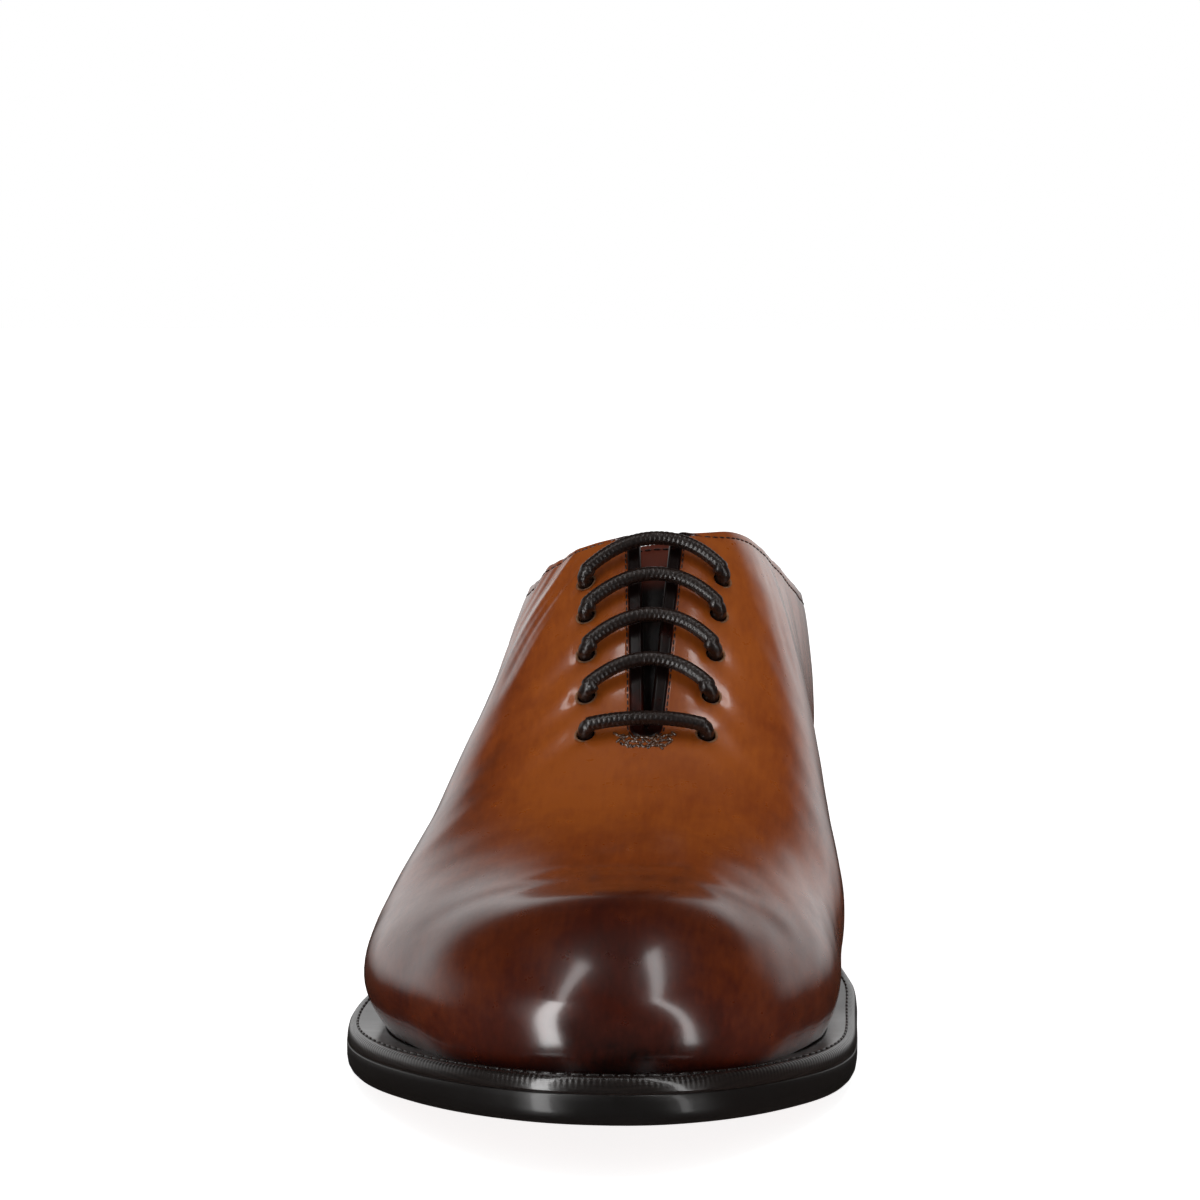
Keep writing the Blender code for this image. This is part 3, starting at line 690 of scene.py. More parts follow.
def edge_relief(y, edge):
    """The binding along the throat, the groove at its foot, and the groove of the turned top line."""
    at_throat = step_up((y - FACING_TOP + 0.0005) / 0.001) * step_up((THROAT_END + 0.004 - y) / 0.002)
    out = BINDING_THICKNESS * at_throat * step_up((BINDING_WIDTH - edge) / 0.0003)
    out += BINDING_GROOVE * at_throat * hill(edge - BINDING_WIDTH - 0.0002, BINDING_GROOVE_WIDTH)
    return out + TURNED_EDGE_GROOVE * (1 - at_throat) * hill(edge - TURNED_EDGE_AT, TURNED_EDGE_WIDTH)


def eyelet_relief(x, y, z):
    """Each eyelet pulled in, with a groove that runs outwards from it and a low ridge beside that."""
    out = 0
    for side, pair, hole_x, hole_y in EYELETS:
        far = np.sqrt((x - hole_x) ** 2 + (y - hole_y) ** 2 + (z - arch_z(hole_x, hole_y)) ** 2)
        outer = side * (x - hole_x)
        ahead = y - hole_y
        pull = (1.0 if side < 0 else 0.45) * (0.8 + 0.15 * pair)
        along = np.maximum(outer * 0.82 + ahead * 0.57, 0)
        beside = outer * 0.57 - ahead * 0.82
        run = pull * step_up(along / 0.003) * np.exp(-along / PUCKER_LENGTH)
        out += EYELET_SINK * hill(far, EYELET_SINK_WIDTH)
        out += PUCKER_GROOVE * run * hill(beside, PUCKER_WIDTH + 0.16 * along)
        out += PUCKER_RIDGE * run * hill(beside - 0.0042, 0.0024)
    return out


def fold_relief(across, y, z):
    """Rows of slanting folds on both quarters: sharpened sine waves that fade out round the instep."""
    bend = 0.004 * np.sin(z * 95 + 1.0)
    outer = step_up((-across - 0.016) / 0.010) * hill(y - 0.140, 0.032) * step_up((z - 0.058) / 0.02)
    inner = step_up((across - 0.018) / 0.010) * hill(y - 0.135, 0.03) * step_up((z - 0.06) / 0.02)
    out = OUTER_FOLDS * outer * np.sin((across + 0.5 * y + bend) * 2 * math.pi / OUTER_FOLD_PITCH) ** 3
    return out + INNER_FOLDS * inner * np.sin((across - 0.6 * y + bend) * 2 * math.pi / INNER_FOLD_PITCH) ** 3


def relief(points, edge):
    """How far the leather stands out: edges, eyelets, folds, the toe's crest, the seam and unevenness."""
    x, y, z = np.moveaxis(points, -1, 0)
    across = x - ridge_x(y)
    out = edge_relief(y, edge) + eyelet_relief(x, y, z) + fold_relief(across, y, z)
    ahead = y - CREST_Y
    out += CREST_HOLLOW * hill(ahead + 0.009, CREST_HOLLOW_LENGTH) * hill(across + 0.002, CREST_HOLLOW_WIDTH)
    out += TOE_FULL * hill(ahead - 0.023, TOE_FULL_LENGTH) * hill(across, TOE_FULL_WIDTH)
    out += CREST * hill(ahead + 0.0005, CREST_LENGTH) * hill(across, CREST_WIDTH)
    behind = step_up((0.004 - y) / 0.004)
    out += BACK_SEAM_GROOVE * behind * hill(x, BACK_SEAM_WIDTH)
    out += BACK_SEAM_SWELL * behind * hill(np.abs(x) - BACK_SEAM_SWELL_AT, BACK_SEAM_SWELL_WIDTH)
    out += UNEVEN_BROAD * ripple(x, y, z, UNEVEN_BROAD_SIZE, 0.4)
    return out + UNEVEN_FINE * ripple(x, y, z, UNEVEN_FINE_SIZE, 1.9)


def add_mesh(name, points, faces, material, attributes=()):
    """A mesh of world points and quads, smooth shaded, riding on the shoe's one body."""
    mesh = bpy.data.meshes.new(name)
    mesh.from_pydata(np.asarray(points).reshape(-1, 3).tolist(), [], np.asarray(faces).tolist())
    for label, values in dict(attributes).items():
        layer = mesh.attributes.new(label, "FLOAT", "POINT")
        layer.data.foreach_set("value", np.asarray(values, np.float32).ravel())
    mesh.validate()
    mesh.shade_smooth()
    mesh.materials.append(material)
    obj = bpy.data.objects.new(name, mesh)
    bpy.context.scene.collection.objects.link(obj)
    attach(obj, "root")
    return obj


def grid_faces(rows, columns, closed):
    """Quads (i, j), (i+1, j), (i+1, j+1), (i, j+1); closed joins the last row to the first."""
    index = np.arange(rows * columns).reshape(rows, columns)
    if closed:
        index = np.concatenate([index, index[:1]])
    corners = (index[:-1, :-1], index[1:, :-1], index[1:, 1:], index[:-1, 1:])
    return np.stack([corner.ravel() for corner in corners], 1)


def snap_to_holes(points, flat):
    """Moves points near each eyelet's rim onto it, and tells which lie inside: centre + offset R/|offset|."""
    inside = np.zeros(flat.shape[:2], bool)
    for _, _, hole_x, hole_y in EYELETS:
        centre = arch_point(hole_x, hole_y, 0.0)
        normal = arch_direction(hole_x, hole_y)
        offset = flat - centre
        offset = offset - (offset @ normal)[..., None] * normal
        far = np.linalg.norm(offset, axis=2)
        near = (np.linalg.norm(flat - centre, axis=2) < 3 * EYELET_RADIUS) & (far > 1e-6)
        snapped = near & (np.abs(far - EYELET_RADIUS) < 0.75 * EDGE_STEP)
        move = offset * (EYELET_RADIUS / np.maximum(far, 1e-6) - 1)[..., None]
        points = points + np.where(snapped[..., None], move, 0)
        inside |= near & (far < EYELET_RADIUS - 0.75 * EDGE_STEP)
    return points, inside


# Cloudy burnish some 26 mm across, flecks of 4 mm, brush strokes 1 by 8 mm, and pores 0.2 mm deep, drawn
# coarser than calf's own so that they still show. Where the tone is at its darkest, there is no polish.
CLOUDS_PER_METRE = 38.0
FLECKS_PER_METRE = 230.0
BRUSH_STROKES = (900.0, 130.0, 420.0)
PORE_DEPTH = 0.0002
UNPOLISHED_TONE = 0.97


def make_leather(name, stops, roughness, coat, pores, bump):
    """Calf darkened by the attribute tone, painted shade on the tongue; clouds, flecks and strokes over fine
    pores.
    """
    material = bpy.data.materials.new(name)
    material.use_nodes = True
    tree = material.node_tree
    shader = tree.nodes["Principled BSDF"]
    place = add_node(tree, "ShaderNodeTexCoord").outputs["Object"]
    tone = add_node(tree, "ShaderNodeAttribute", attribute_name="tone").outputs["Fac"]
    brushed = {"Vector": place, "Scale": BRUSH_STROKES, "Rotation": (0.3, 0.2, 0.5)}
    brush = add_node(tree, "ShaderNodeMapping", brushed).outputs[0]

    def noise(vector, scale, detail, **others):
        inputs = {"Vector": vector, "Scale": scale, "Detail": detail, **others}
        return add_node(tree, "ShaderNodeTexNoise", inputs).outputs["Fac"]

    clouds = noise(place, CLOUDS_PER_METRE, 5.0, Roughness=0.62, Distortion=0.6)
    flecks = noise(place, FLECKS_PER_METRE, 4.0, Roughness=0.6)
    mixed = tone
    for pattern, spread in ((clouds, 0.62), (flecks, 0.16), (noise(brush, 1.0, 3.0), 0.22)):
        mixed = math_node(tree, "ADD", mixed, math_node(tree, "MULTIPLY_ADD", pattern, spread, -spread / 2))
    cells = {"Vector": place, "Scale": pores}
    borders = add_node(tree, "ShaderNodeTexVoronoi", cells, feature="DISTANCE_TO_EDGE").outputs["Distance"]
    grain = math_node(tree, "MINIMUM", borders, 0.25)
    height = math_node(tree, "MULTIPLY_ADD", flecks, 0.6, grain)
    raised = add_node(tree, "ShaderNodeBump", {"Height": height, "Strength": bump, "Distance": PORE_DEPTH})
    rough = math_node(tree, "MULTIPLY_ADD", flecks, 0.16, roughness - 0.08)
    tree.links.new(ramp(tree, mixed, *stops), shader.inputs["Base Color"])
    tree.links.new(rough, shader.inputs["Roughness"])
    tree.links.new(raised.outputs[0], shader.inputs["Normal"])
    if coat > 0:
        polished = math_node(tree, "MULTIPLY", math_node(tree, "LESS_THAN", tone, UNPOLISHED_TONE), coat)
        tree.links.new(polished, shader.inputs["Coat Weight"])
    shader.inputs["Coat Roughness"].default_value = 0.15
    shader.inputs["Specular IOR Level"].default_value = 0.3
    return material


BURNISHED_CALF = make_leather(
    "burnished tan calf",
    [
        (0.0, "#b25a1b"),
        (0.22, "#984614"),
        (0.45, "#702f0b"),
        (0.7, "#4c1604"),
        (0.88, "#360b01"),
        (1.0, "#120402"),
    ],
    roughness=0.30,
    coat=1.0,
    pores=2600.0,
    bump=0.10,
)

# Where the sides' ribs start: along the collar, round the facing's corner, and down the throat.
COLLAR_YS = FACING_TOP + (HEEL_ROUNDING - FACING_TOP) * (1 - np.cos(np.linspace(0, math.pi / 2, 91)))[:0:-1]
CORNER_YS = FACING_TOP + FACING_CORNER * (1 - np.cos(np.linspace(0, math.pi / 2, 12)))[:-1]
FACING_YS = np.concatenate([CORNER_YS, np.linspace(FACING_TOP + FACING_CORNER, THROAT_END, 100)[:-1]])
SIDE_YS = np.concatenate([COLLAR_YS, FACING_YS])
BACK_SHARES = np.linspace(-1, 1, BACK_RIBS)
BACK_ANGLES = -math.pi / 2 - math.pi / 2 * np.sign(BACK_SHARES) * np.abs(BACK_SHARES) ** 1.7


def loop_of_rays(sides, front_count, back_angles):
    """Rays round the shoe: up the outer side, round the toe, down the inner side and round the heel."""
    front = fan(THROAT_END, np.linspace(math.pi, 0, front_count))
    return np.concatenate([rays(sides, -1), front, rays(sides[::-1], 1), fan(HEEL_ROUNDING, back_angles)])


LOOP = loop_of_rays(SIDE_YS, FAN_RIBS, BACK_ANGLES[1:-1])


def make_upper_grid():
    """The upper's outside from its top edge down, plain and dressed, its normals and distances along."""
    flat, edge = cut_from_top(shell_points(LOOP))
    normal = outward(flat)
    return flat, flat + normal * relief(flat, edge)[..., None], normal, edge


FLAT, SKIN, SKIN_NORMAL, EDGE = make_upper_grid()


# How much darker each place's tone is; a negative share makes it lighter.
TONE_START = 0.06
TONE_SIDES = 0.32
TONE_TOE = 0.42
TONE_TIP = 0.34
TONE_LOW = 0.12
TONE_HEEL = 0.22
TONE_EDGE = 0.10
TONE_EYELET = -0.05
DARKEST_TONE = 0.95


def upper_tone(points, edge):
    """Darkness 0 to 1: burnish at the toe, heel and top line; darker towards the sides and low by the welt.
    """
    x, y, z = np.moveaxis(points, -1, 0)
    toe = step_up((y - 0.212) / 0.062)
    tip = step_up((y - 0.262) / 0.030) * hill(x - throat_x(y), 0.022)
    low = 1 - step_up((z - feather_z(y)) / 0.016)
    sides = step_up((np.abs(x - throat_x(y)) / (BALL_WIDTH / 2) - 0.35) / 0.6)
    heel = step_up((0.075 - y) / 0.07)
    tone = TONE_START + TONE_SIDES * sides + TONE_TOE * toe * (1 - 0.35 * sides) + TONE_TIP * tip
    tone += TONE_LOW * low + TONE_HEEL * heel + TONE_EDGE * hill(edge, 0.004)
    for _, _, hole_x, hole_y in EYELETS:
        tone += TONE_EYELET * hill(np.sqrt((x - hole_x) ** 2 + (y - hole_y) ** 2), 0.004)
    return np.clip(tone, 0, DARKEST_TONE)


def make_upper():
    """The skin, and a lip that turns over to the inside: edge + T lip sin a - N wall/2 (1 - cos a)."""
    edge_tangent = unit(SKIN[:, :1] - SKIN[:, 2:3])
    angle = np.linspace(math.pi, 0, LIP_STEPS + 1)[:-1][None, :, None]
    turned = SKIN_NORMAL[:, :1] * WALL / 2 * (1 - np.cos(angle))
    lip = SKIN[:, :1] + edge_tangent * LIP_SWELL * np.sin(angle) - turned
    skin, inside = snap_to_holes(SKIN, FLAT)
    points = np.concatenate([lip, skin], 1)
    edge = np.concatenate([np.zeros(lip.shape[:2]), EDGE], 1)
    at_throat = step_up((points[..., 1] - FACING_TOP + 0.001) / 0.002)
    band = at_throat * (edge < BINDING_WIDTH) * (points[..., 1] < THROAT_END + 0.004)
    tone = np.maximum(upper_tone(points, edge), band)
    faces = grid_faces(*points.shape[:2], True)[:, ::-1]
    gone = np.concatenate([np.zeros(lip.shape[:2], bool), inside], 1).ravel()
    faces = faces[~gone[faces].any(1)]
    upper = add_mesh("upper_leather", to_world(points), faces, BURNISHED_CALF, {"tone": tone})
    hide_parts("upper")


make_upper()


# Lining
# Thin tan calf glued inside the outer leather, from just under the lip down to the insole's edge.
LINING_CALF = make_leather(
    "tan lining calf",
    [(0.0, "#b07a4a"), (0.5, "#8d5a32"), (1.0, "#5a351d")],
    roughness=0.55,
    coat=0.0,
    pores=1500.0,
    bump=0.25,
)


def make_lining():
    """The plain form moved in by the wall: P - N wall."""
    flat, inside = snap_to_holes(FLAT - SKIN_NORMAL * WALL, FLAT)
    flat = flat[:, 1:]
    faces = grid_faces(*flat.shape[:2], True)
    faces = faces[~inside[:, 1:].ravel()[faces].any(1)]
    tone = 0.35 + 0.5 * step_up((0.006 - EDGE[:, 1:]) / 0.004)
    lining = add_mesh("quarter_lining", to_world(flat), faces, LINING_CALF, {"tone": tone})


make_lining()


# Eyelet rims
# Each eyelet is a bare punched hole; its cut edge shows the pale raw leather, pressed outwards by the cord.
RIM = table(
    "beyond height",
    (0.0004, -0.00041),
    (0.0001, -0.00039),
    (-0.0001, -0.0005),
    (0.0, -0.0019),
    (0.0004, -0.0021),
)
RIM_POINTS = 28


def plain_material(name, colour, other, scale, roughness, coat=0.0, bump=0.15, stretch=(1.0, 1.0, 1.0)):
    """Two colours mixed by noise over object coordinates, with a bump from the same noise."""
    material = bpy.data.materials.new(name)
    material.use_nodes = True
    tree = material.node_tree
    shader = tree.nodes["Principled BSDF"]
    place = add_node(tree, "ShaderNodeTexCoord").outputs["Object"]
    turned = add_node(tree, "ShaderNodeMapping", {"Vector": place, "Scale": stretch}).outputs[0]
    grain = {"Vector": turned, "Scale": scale, "Detail": 4.0, "Roughness": 0.6}
    noise = add_node(tree, "ShaderNodeTexNoise", grain).outputs["Fac"]
    raised = add_node(tree, "ShaderNodeBump", {"Height": noise, "Strength": bump, "Distance": 0.0003})
    rough = math_node(tree, "MULTIPLY_ADD", noise, 0.2, roughness - 0.1)
    tree.links.new(ramp(tree, noise, (0.3, colour), (0.7, other)), shader.inputs["Base Color"])
    tree.links.new(rough, shader.inputs["Roughness"])
    tree.links.new(raised.outputs[0], shader.inputs["Normal"])
    shader.inputs["Coat Weight"].default_value = coat
    shader.inputs["Coat Roughness"].default_value = 0.12
    return material


def repeated(faces, count):
    """The same faces for a number of like pieces, whose points follow each other."""
    size = faces.max() + 1
    return np.concatenate([faces + size * k for k in range(count)])


def make_rims():
    """centre + N height + (R + beyond) (U cos a + V sin a), for each eyelet."""
    angle = full_turn(RIM_POINTS)[:, None]
    points = []
    for _, _, hole_x, hole_y in EYELETS:
        normal = arch_direction(hole_x, hole_y)
        u = unit(np.cross(normal, [0, 1, 0]))
        circle = np.cos(angle) * u + np.sin(angle) * np.cross(normal, u)
        radius = (EYELET_RADIUS + RIM["beyond"])[None, :, None]
        centre = arch_point(hole_x, hole_y, 0.0)
        points.append(centre + circle[:, None] * radius + normal * RIM["height"][None, :, None])
    faces = repeated(grid_faces(RIM_POINTS, len(RIM["height"]), True), len(points))
    raw = plain_material("raw cut calf", "#a8764c", "#6b4022", 900.0, 0.7)
    add_mesh("eyelet_rims", to_world(points), faces, raw)


make_rims()


# Stitches
# Lockstitch rows in waxed thread: along the top line, beside the throat's binding and on both sides of the
# back seam, with a crescent of close stitches that stops the throat from tearing.
TACK_ROWS = 3
TACK_STITCHES = 12
TACK_HALF_WIDTH = 0.0062
TACK_AHEAD = 0.0030
TACK_ROW_PITCH = 0.0011
TACK_CURVE = 28
TACK_SLANT = 0.0006
STITCH_RINGS = 8
STITCH_SIDES = 8
THREAD = plain_material("waxed brown thread", "#3a1c10", "#1d0d08", 2500.0, 0.42, coat=0.3)


def add_stitches(name, rows, pitch, length, radius, material):
    """Capsules along each row: mid + T length/2 cos t + (B cos s + N sin s) r sqrt(sin t)."""
    centres = []
    tangents = []
    normals = []
    for points, normal in rows:
        along = run_length(points)
        at = np.arange(pitch / 2, along[-1], pitch)
        centres.append(along_path(at, along, points))
        tangents.append(along_path(at + pitch / 4, along, points) - along_path(at - pitch / 4, along, points))
        normals.append(along_path(at, along, normal))
    centre, tangent, normal = (np.concatenate(part)[:, None, None] for part in (centres, tangents, normals))
    tangent = unit(tangent)
    normal = unit(normal)
    t = np.linspace(0.02, math.pi - 0.02, STITCH_RINGS)[None, None, :, None]
    around = full_turn(STITCH_SIDES)[None, :, None, None]
    circle = np.cross(tangent, normal) * np.cos(around) + normal * np.sin(around)
    points = centre + tangent * length / 2 * np.cos(t) + circle * radius * np.sqrt(np.sin(t))
    faces = repeated(grid_faces(STITCH_SIDES, STITCH_RINGS, True), len(points))
    add_mesh(name, to_world(points), faces, material)


COLLAR_RIBS = len(COLLAR_YS)
SIDE_RIBS = len(SIDE_YS)
AROUND = np.arange(len(LOOP))
TOP_LINE = np.concatenate([AROUND[SIDE_RIBS + FAN_RIBS + len(FACING_YS) + 4 :], AROUND[: COLLAR_RIBS - 4]])
THROAT_LINE = AROUND[COLLAR_RIBS + 8 : SIDE_RIBS + FAN_RIBS + len(FACING_YS) - 8]
SEAM_COLUMNS = slice(4, 106)
SEAM_RIB = SIDE_RIBS * 2 + FAN_RIBS + len(BACK_ANGLES) // 2 - 1


def skin_row(ribs, distance):
    """The skin's points and normals at a distance from its top edge."""
    column = round(distance / EDGE_STEP)
    return SKIN[ribs, column], SKIN_NORMAL[ribs, column]


def seam_row(offset):
    """The skin's points and normals down the back, moved aside by an offset."""
    return SKIN[SEAM_RIB, SEAM_COLUMNS] + np.array([offset, -0.0002, 0]), SKIN_NORMAL[SEAM_RIB, SEAM_COLUMNS]


def make_tack():
    """Crescent of stitches: y = the throat's end + a pitch for each row - curve x squared."""
    rows = []
    for row in range(TACK_ROWS):
        for x in np.linspace(-TACK_HALF_WIDTH, TACK_HALF_WIDTH, TACK_STITCHES) * (1 - 0.12 * row):
            y = THROAT_END + TACK_AHEAD + TACK_ROW_PITCH * row - TACK_CURVE * x * x
            slant = TACK_SLANT * math.cos(9 * x * 1000 + 2.2 * row)
            ends_x = throat_x(y) + x + np.array([-TACK_SLANT, TACK_SLANT])
            ends = arch_point(ends_x, y + np.array([-slant, slant]), np.full(2, 0.00015))
            rows.append((ends, np.repeat(arch_direction(ends_x[0], y)[None], 2, 0)))
    return rows


BACK_SEAM_ROWS = [seam_row(-0.0017), seam_row(0.0017)]
TACK_THREAD = plain_material("glossy waxed thread", "#2c120a", "#7a4f30", 1400.0, 0.28, coat=0.6)
# Each row's piece, lines, pitch, stitch length, thread radius and thread.
for name, rows, pitch, length, radius, thread in (
    ("top_line_stitches", [skin_row(TOP_LINE, 0.00225)], 0.0021, 0.0016, 0.00022, THREAD),
    ("throat_stitches", [skin_row(THROAT_LINE, 0.0028)], 0.0019, 0.0014, 0.0002, THREAD),
    ("back_seam_stitches", BACK_SEAM_ROWS, 0.0023, 0.0017, 0.0002, THREAD),
    ("throat_tack", make_tack(), 0.0012, 0.0015, 0.00034, TACK_THREAD),
):
    add_stitches(name, rows, pitch, length, radius, thread)


# Tongue
# A soft leather leaf under the throat, round at the top, with one row of stitches; below the bars it is
# painted near black as shade.
TONGUE_THICKNESS = 0.002
TONGUE_TUCK = 0.014
TONGUE_STAND = 0.004
TONGUE_CORNER = 0.008
TONGUE_WIDTH_FRONT = 0.036
TONGUE_WIDTH_TOP = 0.046
TONGUE_START = FACING_TOP - TONGUE_STAND
TONGUE_END = THROAT_END + TONGUE_TUCK
TONGUE_ROWS = 90
TONGUE_COLUMNS = 61
TONGUE_EDGE = 0.001
TONGUE_STITCH_INSET = 0.0026
LACE_RADIUS = 0.0016
LACE_LIFT = LACE_RADIUS + 0.0005
LACE_DEPTH = WALL + LACE_LIFT
TONGUE_DEPTH = LACE_DEPTH + LACE_LIFT


def tongue_point(across, y, sink):
    """arch at (throat + half across, y), under its surface by the tongue's depth and by sink."""
    last = eyelet(1, EYELET_PAIRS - 1)[1] + LACE_LIFT
    depth = TONGUE_DEPTH + (WALL + 2 * SEAT_GAP - TONGUE_DEPTH) * step_up((y - last) / (TONGUE_END - last))
    share = (y - TONGUE_START) / (TONGUE_END - TONGUE_START)
    width = TONGUE_WIDTH_TOP + (TONGUE_WIDTH_FRONT - TONGUE_WIDTH_TOP) * share
    corner = np.clip((TONGUE_START + TONGUE_CORNER - y) / TONGUE_CORNER, 0, 1)
    half = width / 2 - TONGUE_CORNER * (1 - np.sqrt(1 - corner**2))
    return arch_point(throat_x(y) + half * across, y, -(depth + sink))


def make_tongue():
    """Two faces half a thickness each side of the leaf, thinned to nothing at its edge."""
    share = (1 - np.cos(np.linspace(0, math.pi, TONGUE_ROWS)))[:, None] / 2
    across = np.sin(np.linspace(-math.pi / 2, math.pi / 2, TONGUE_COLUMNS))[None, :]
    y, across = np.broadcast_arrays(TONGUE_START + (TONGUE_END - TONGUE_START) * share, across)
    edge = np.minimum(np.minimum(y - TONGUE_START, TONGUE_END - y), (1 - np.abs(across)) * 0.02)
    full = np.sqrt(1 - (1 - np.clip(edge / TONGUE_EDGE, 0, 1)) ** 2) * TONGUE_THICKNESS / 2
    full = full - 0.00012 * hill(edge - TONGUE_STITCH_INSET, 0.0005)
    faces = grid_faces(TONGUE_ROWS, TONGUE_COLUMNS, False)
    faces = np.concatenate([faces, faces[:, ::-1] + edge.size])
    points = np.array([tongue_point(across, y, TONGUE_THICKNESS / 2 + way * full) for way in (-1, 1)])
    # Painted shade: from 12 mm below its top, the tongue's tone turns it near black for the shade under the
    # bars.
    tone = np.tile((0.25 + 0.75 * step_up((y - TONGUE_START - 0.012) / 0.004)).ravel(), 2)
    stops = [(0.0, "#7a3520"), (0.5, "#4a1d12"), (1.0, "#0d0605")]
    leather = make_leather("red brown tongue calf with painted shade", stops, 0.38, 0.25, 2200.0, 0.15)
    tongue = add_mesh("tongue_leather", to_world(points), faces, leather, {"tone": tone})
    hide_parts("tongue")
    y = np.full(60, TONGUE_START + TONGUE_STITCH_INSET)
    row = tongue_point(np.linspace(-0.75, 0.75, 60), y, np.full(60, -0.00005))
    up = arch_direction(np.full(60, throat_x(TONGUE_START)), y)
    add_stitches("tongue_stitches", [(row, up)], 0.0021, 0.0016, 0.0002, THREAD)


make_tongue()


# Lace
# One round waxed cotton cord, braided: five straight bars over the throat and hidden runs under the facings.
LACE_BOW = 0.0008
LACE_ARCH = 0.0042
LACE_LANE = 0.0056
LACE_TAIL = 0.0050
LACE_END = table("above beside", (1.000, 1.00), (0.500, 1.00), (0.200, 1.00), (0.125, 0.45))
BRAID_PITCH = 0.0022
BRAID_STRANDS = 8
BRAID_RELIEF = 0.00014
LACE_SIDES = 32
LACE_STEP = 0.0002
LACE_SMOOTHING = 9


def through_eyelet(side, pair, run):
    """Quarter circle over the rim and quarter circle under it, both of the radius LACE_LIFT."""
    x, y = eyelet(side, pair)
    point = arch_point(x, y, 0.0)
    normal = arch_direction(x, y)
    across = unit(arch_point(x - side * FINE, y, 0.0) - point)
    along = unit(arch_point(x, y + run * FINE, 0.0) - point)
    turn = np.linspace(0, math.pi / 2, 9)[:, None]
    over = point + LACE_LIFT * (across * (1 - np.sin(turn)) + normal * np.cos(turn))
    under = point - WALL * normal + LACE_LIFT * (along * (1 - np.cos(turn)) - normal * np.sin(turn))
    return np.concatenate([over, under])


def lace_bar(side, pair):
    """From eyelet to eyelet, y - arch 4s(1-s), at the height lift + bow 4s(1-s) over the facings."""
    start_x, y = eyelet(side, pair)
    share = np.linspace(0, 1, 32)[1:-1]
    x = start_x + (eyelet(-side, pair)[0] - start_x) * share
    bow = 4 * share * (1 - share)
    arch = LACE_ARCH if pair < EYELET_PAIRS - 1 else 0
    return arch_point(x, y - arch * bow, LACE_LIFT + LACE_BOW * bow)


def lace_route():
    """From the hidden end at the top right, down through every pair of eyelets in turn, and back up."""
    y = FACING_TOP + EYELET_MARGIN + (1 - LACE_END["above"]) * (EYELET_PAIRS - 1) * EYELET_PITCH
    x = throat_x(y) + throat_half(y) + EYELET_INSET - LACE_END["beside"] * LACE_LANE
    stretches = [arch_point(x, y, np.full(x.shape, -LACE_DEPTH))]
    side = 1
    for pair in reversed(range(EYELET_PAIRS)):
        came_from = -1 if pair == EYELET_PAIRS - 1 else 1
        stretches += [through_eyelet(side, pair, came_from)[::-1], lace_bar(side, pair)]
        side = -side
        if pair > 0:
            x, y = eyelet(side, pair - 0.5)
            stretches += [through_eyelet(side, pair, -1), arch_point([x], [y], [-LACE_DEPTH])]
    x, y = eyelet(side, 0)
    stretches += [through_eyelet(side, 0, 1), arch_point([x], [y + LACE_LIFT + LACE_TAIL], [-LACE_DEPTH])]
    return np.concatenate(stretches)


def turned_frames(tangent):
    """Normals carried along a path without twist, each the last one less its part along the next tangent."""
    normal = np.cross(tangent[0], [0, 0, 1])
    frames = []
    for direction in tangent:
        normal = unit(normal - direction * (normal @ direction))
        frames.append(normal)
    return np.array(frames)


def make_lace():
    """Tube P + (N cos a + B sin a) r; r rises with |cos(strands a/4 +- 2 pi s/pitch)|, strands that cross."""
    route = lace_route()
    along = run_length(route)
    at = np.arange(0, along[-1], LACE_STEP)
    path = along_path(at, along, route)
    kernel = np.hanning(LACE_SMOOTHING) / np.hanning(LACE_SMOOTHING).sum()
    ends = LACE_SMOOTHING // 2
    path[ends:-ends] = np.stack([np.convolve(path[:, axis], kernel, "valid") for axis in range(3)], 1)
    tangent = unit(np.gradient(path, axis=0))
    normal = turned_frames(tangent)
    angle = full_turn(LACE_SIDES)[:, None]
    turn = at * 2 * math.pi / BRAID_PITCH
    strands = BRAID_STRANDS / 4 * angle
    raised = np.maximum(np.abs(np.cos(strands + turn)), np.abs(np.cos(strands - turn)))
    radius = LACE_RADIUS - BRAID_RELIEF * (1 - raised)
    radius[:, [0, -1]] = 0
    circle = np.cos(angle)[..., None] * normal + np.sin(angle)[..., None] * np.cross(tangent, normal)
    cord = plain_material("waxed brown cotton braid", "#190c07", "#28160e", 1500.0, 0.36, coat=0.2, bump=0.3)
    faces = grid_faces(LACE_SIDES, len(path), True)
    lace = add_mesh("lace_cord", to_world(path + circle * radius[..., None]), faces, cord)
    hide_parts("lace")


make_lace()


# Sock
# A full tan calf sock glued on the insole, with the insole's own edge just beyond it.
INSOLE_THICKNESS = 0.003
SOCK_INSET = WALL + 0.0008
SOCK_THICKNESS = 0.0005
SOCK_EDGE = 0.0001
SOCK_ROWS = 140
SOCK_COLUMNS = 41


def plan_patch(ys, grow, columns):
    """Grid across the shoe: middle of the two half widths + share of their sum."""
    across = np.linspace(-1, 1, columns)[None, :]
    ys = np.broadcast_to(ys.reshape(len(ys), -1), (len(ys), columns))
    medial = half_width(1, ys, grow(1, ys))
    lateral = half_width(-1, ys, grow(-1, ys))
    return np.stack([(medial - lateral) / 2 + across * (medial + lateral) / 2, ys], 2)


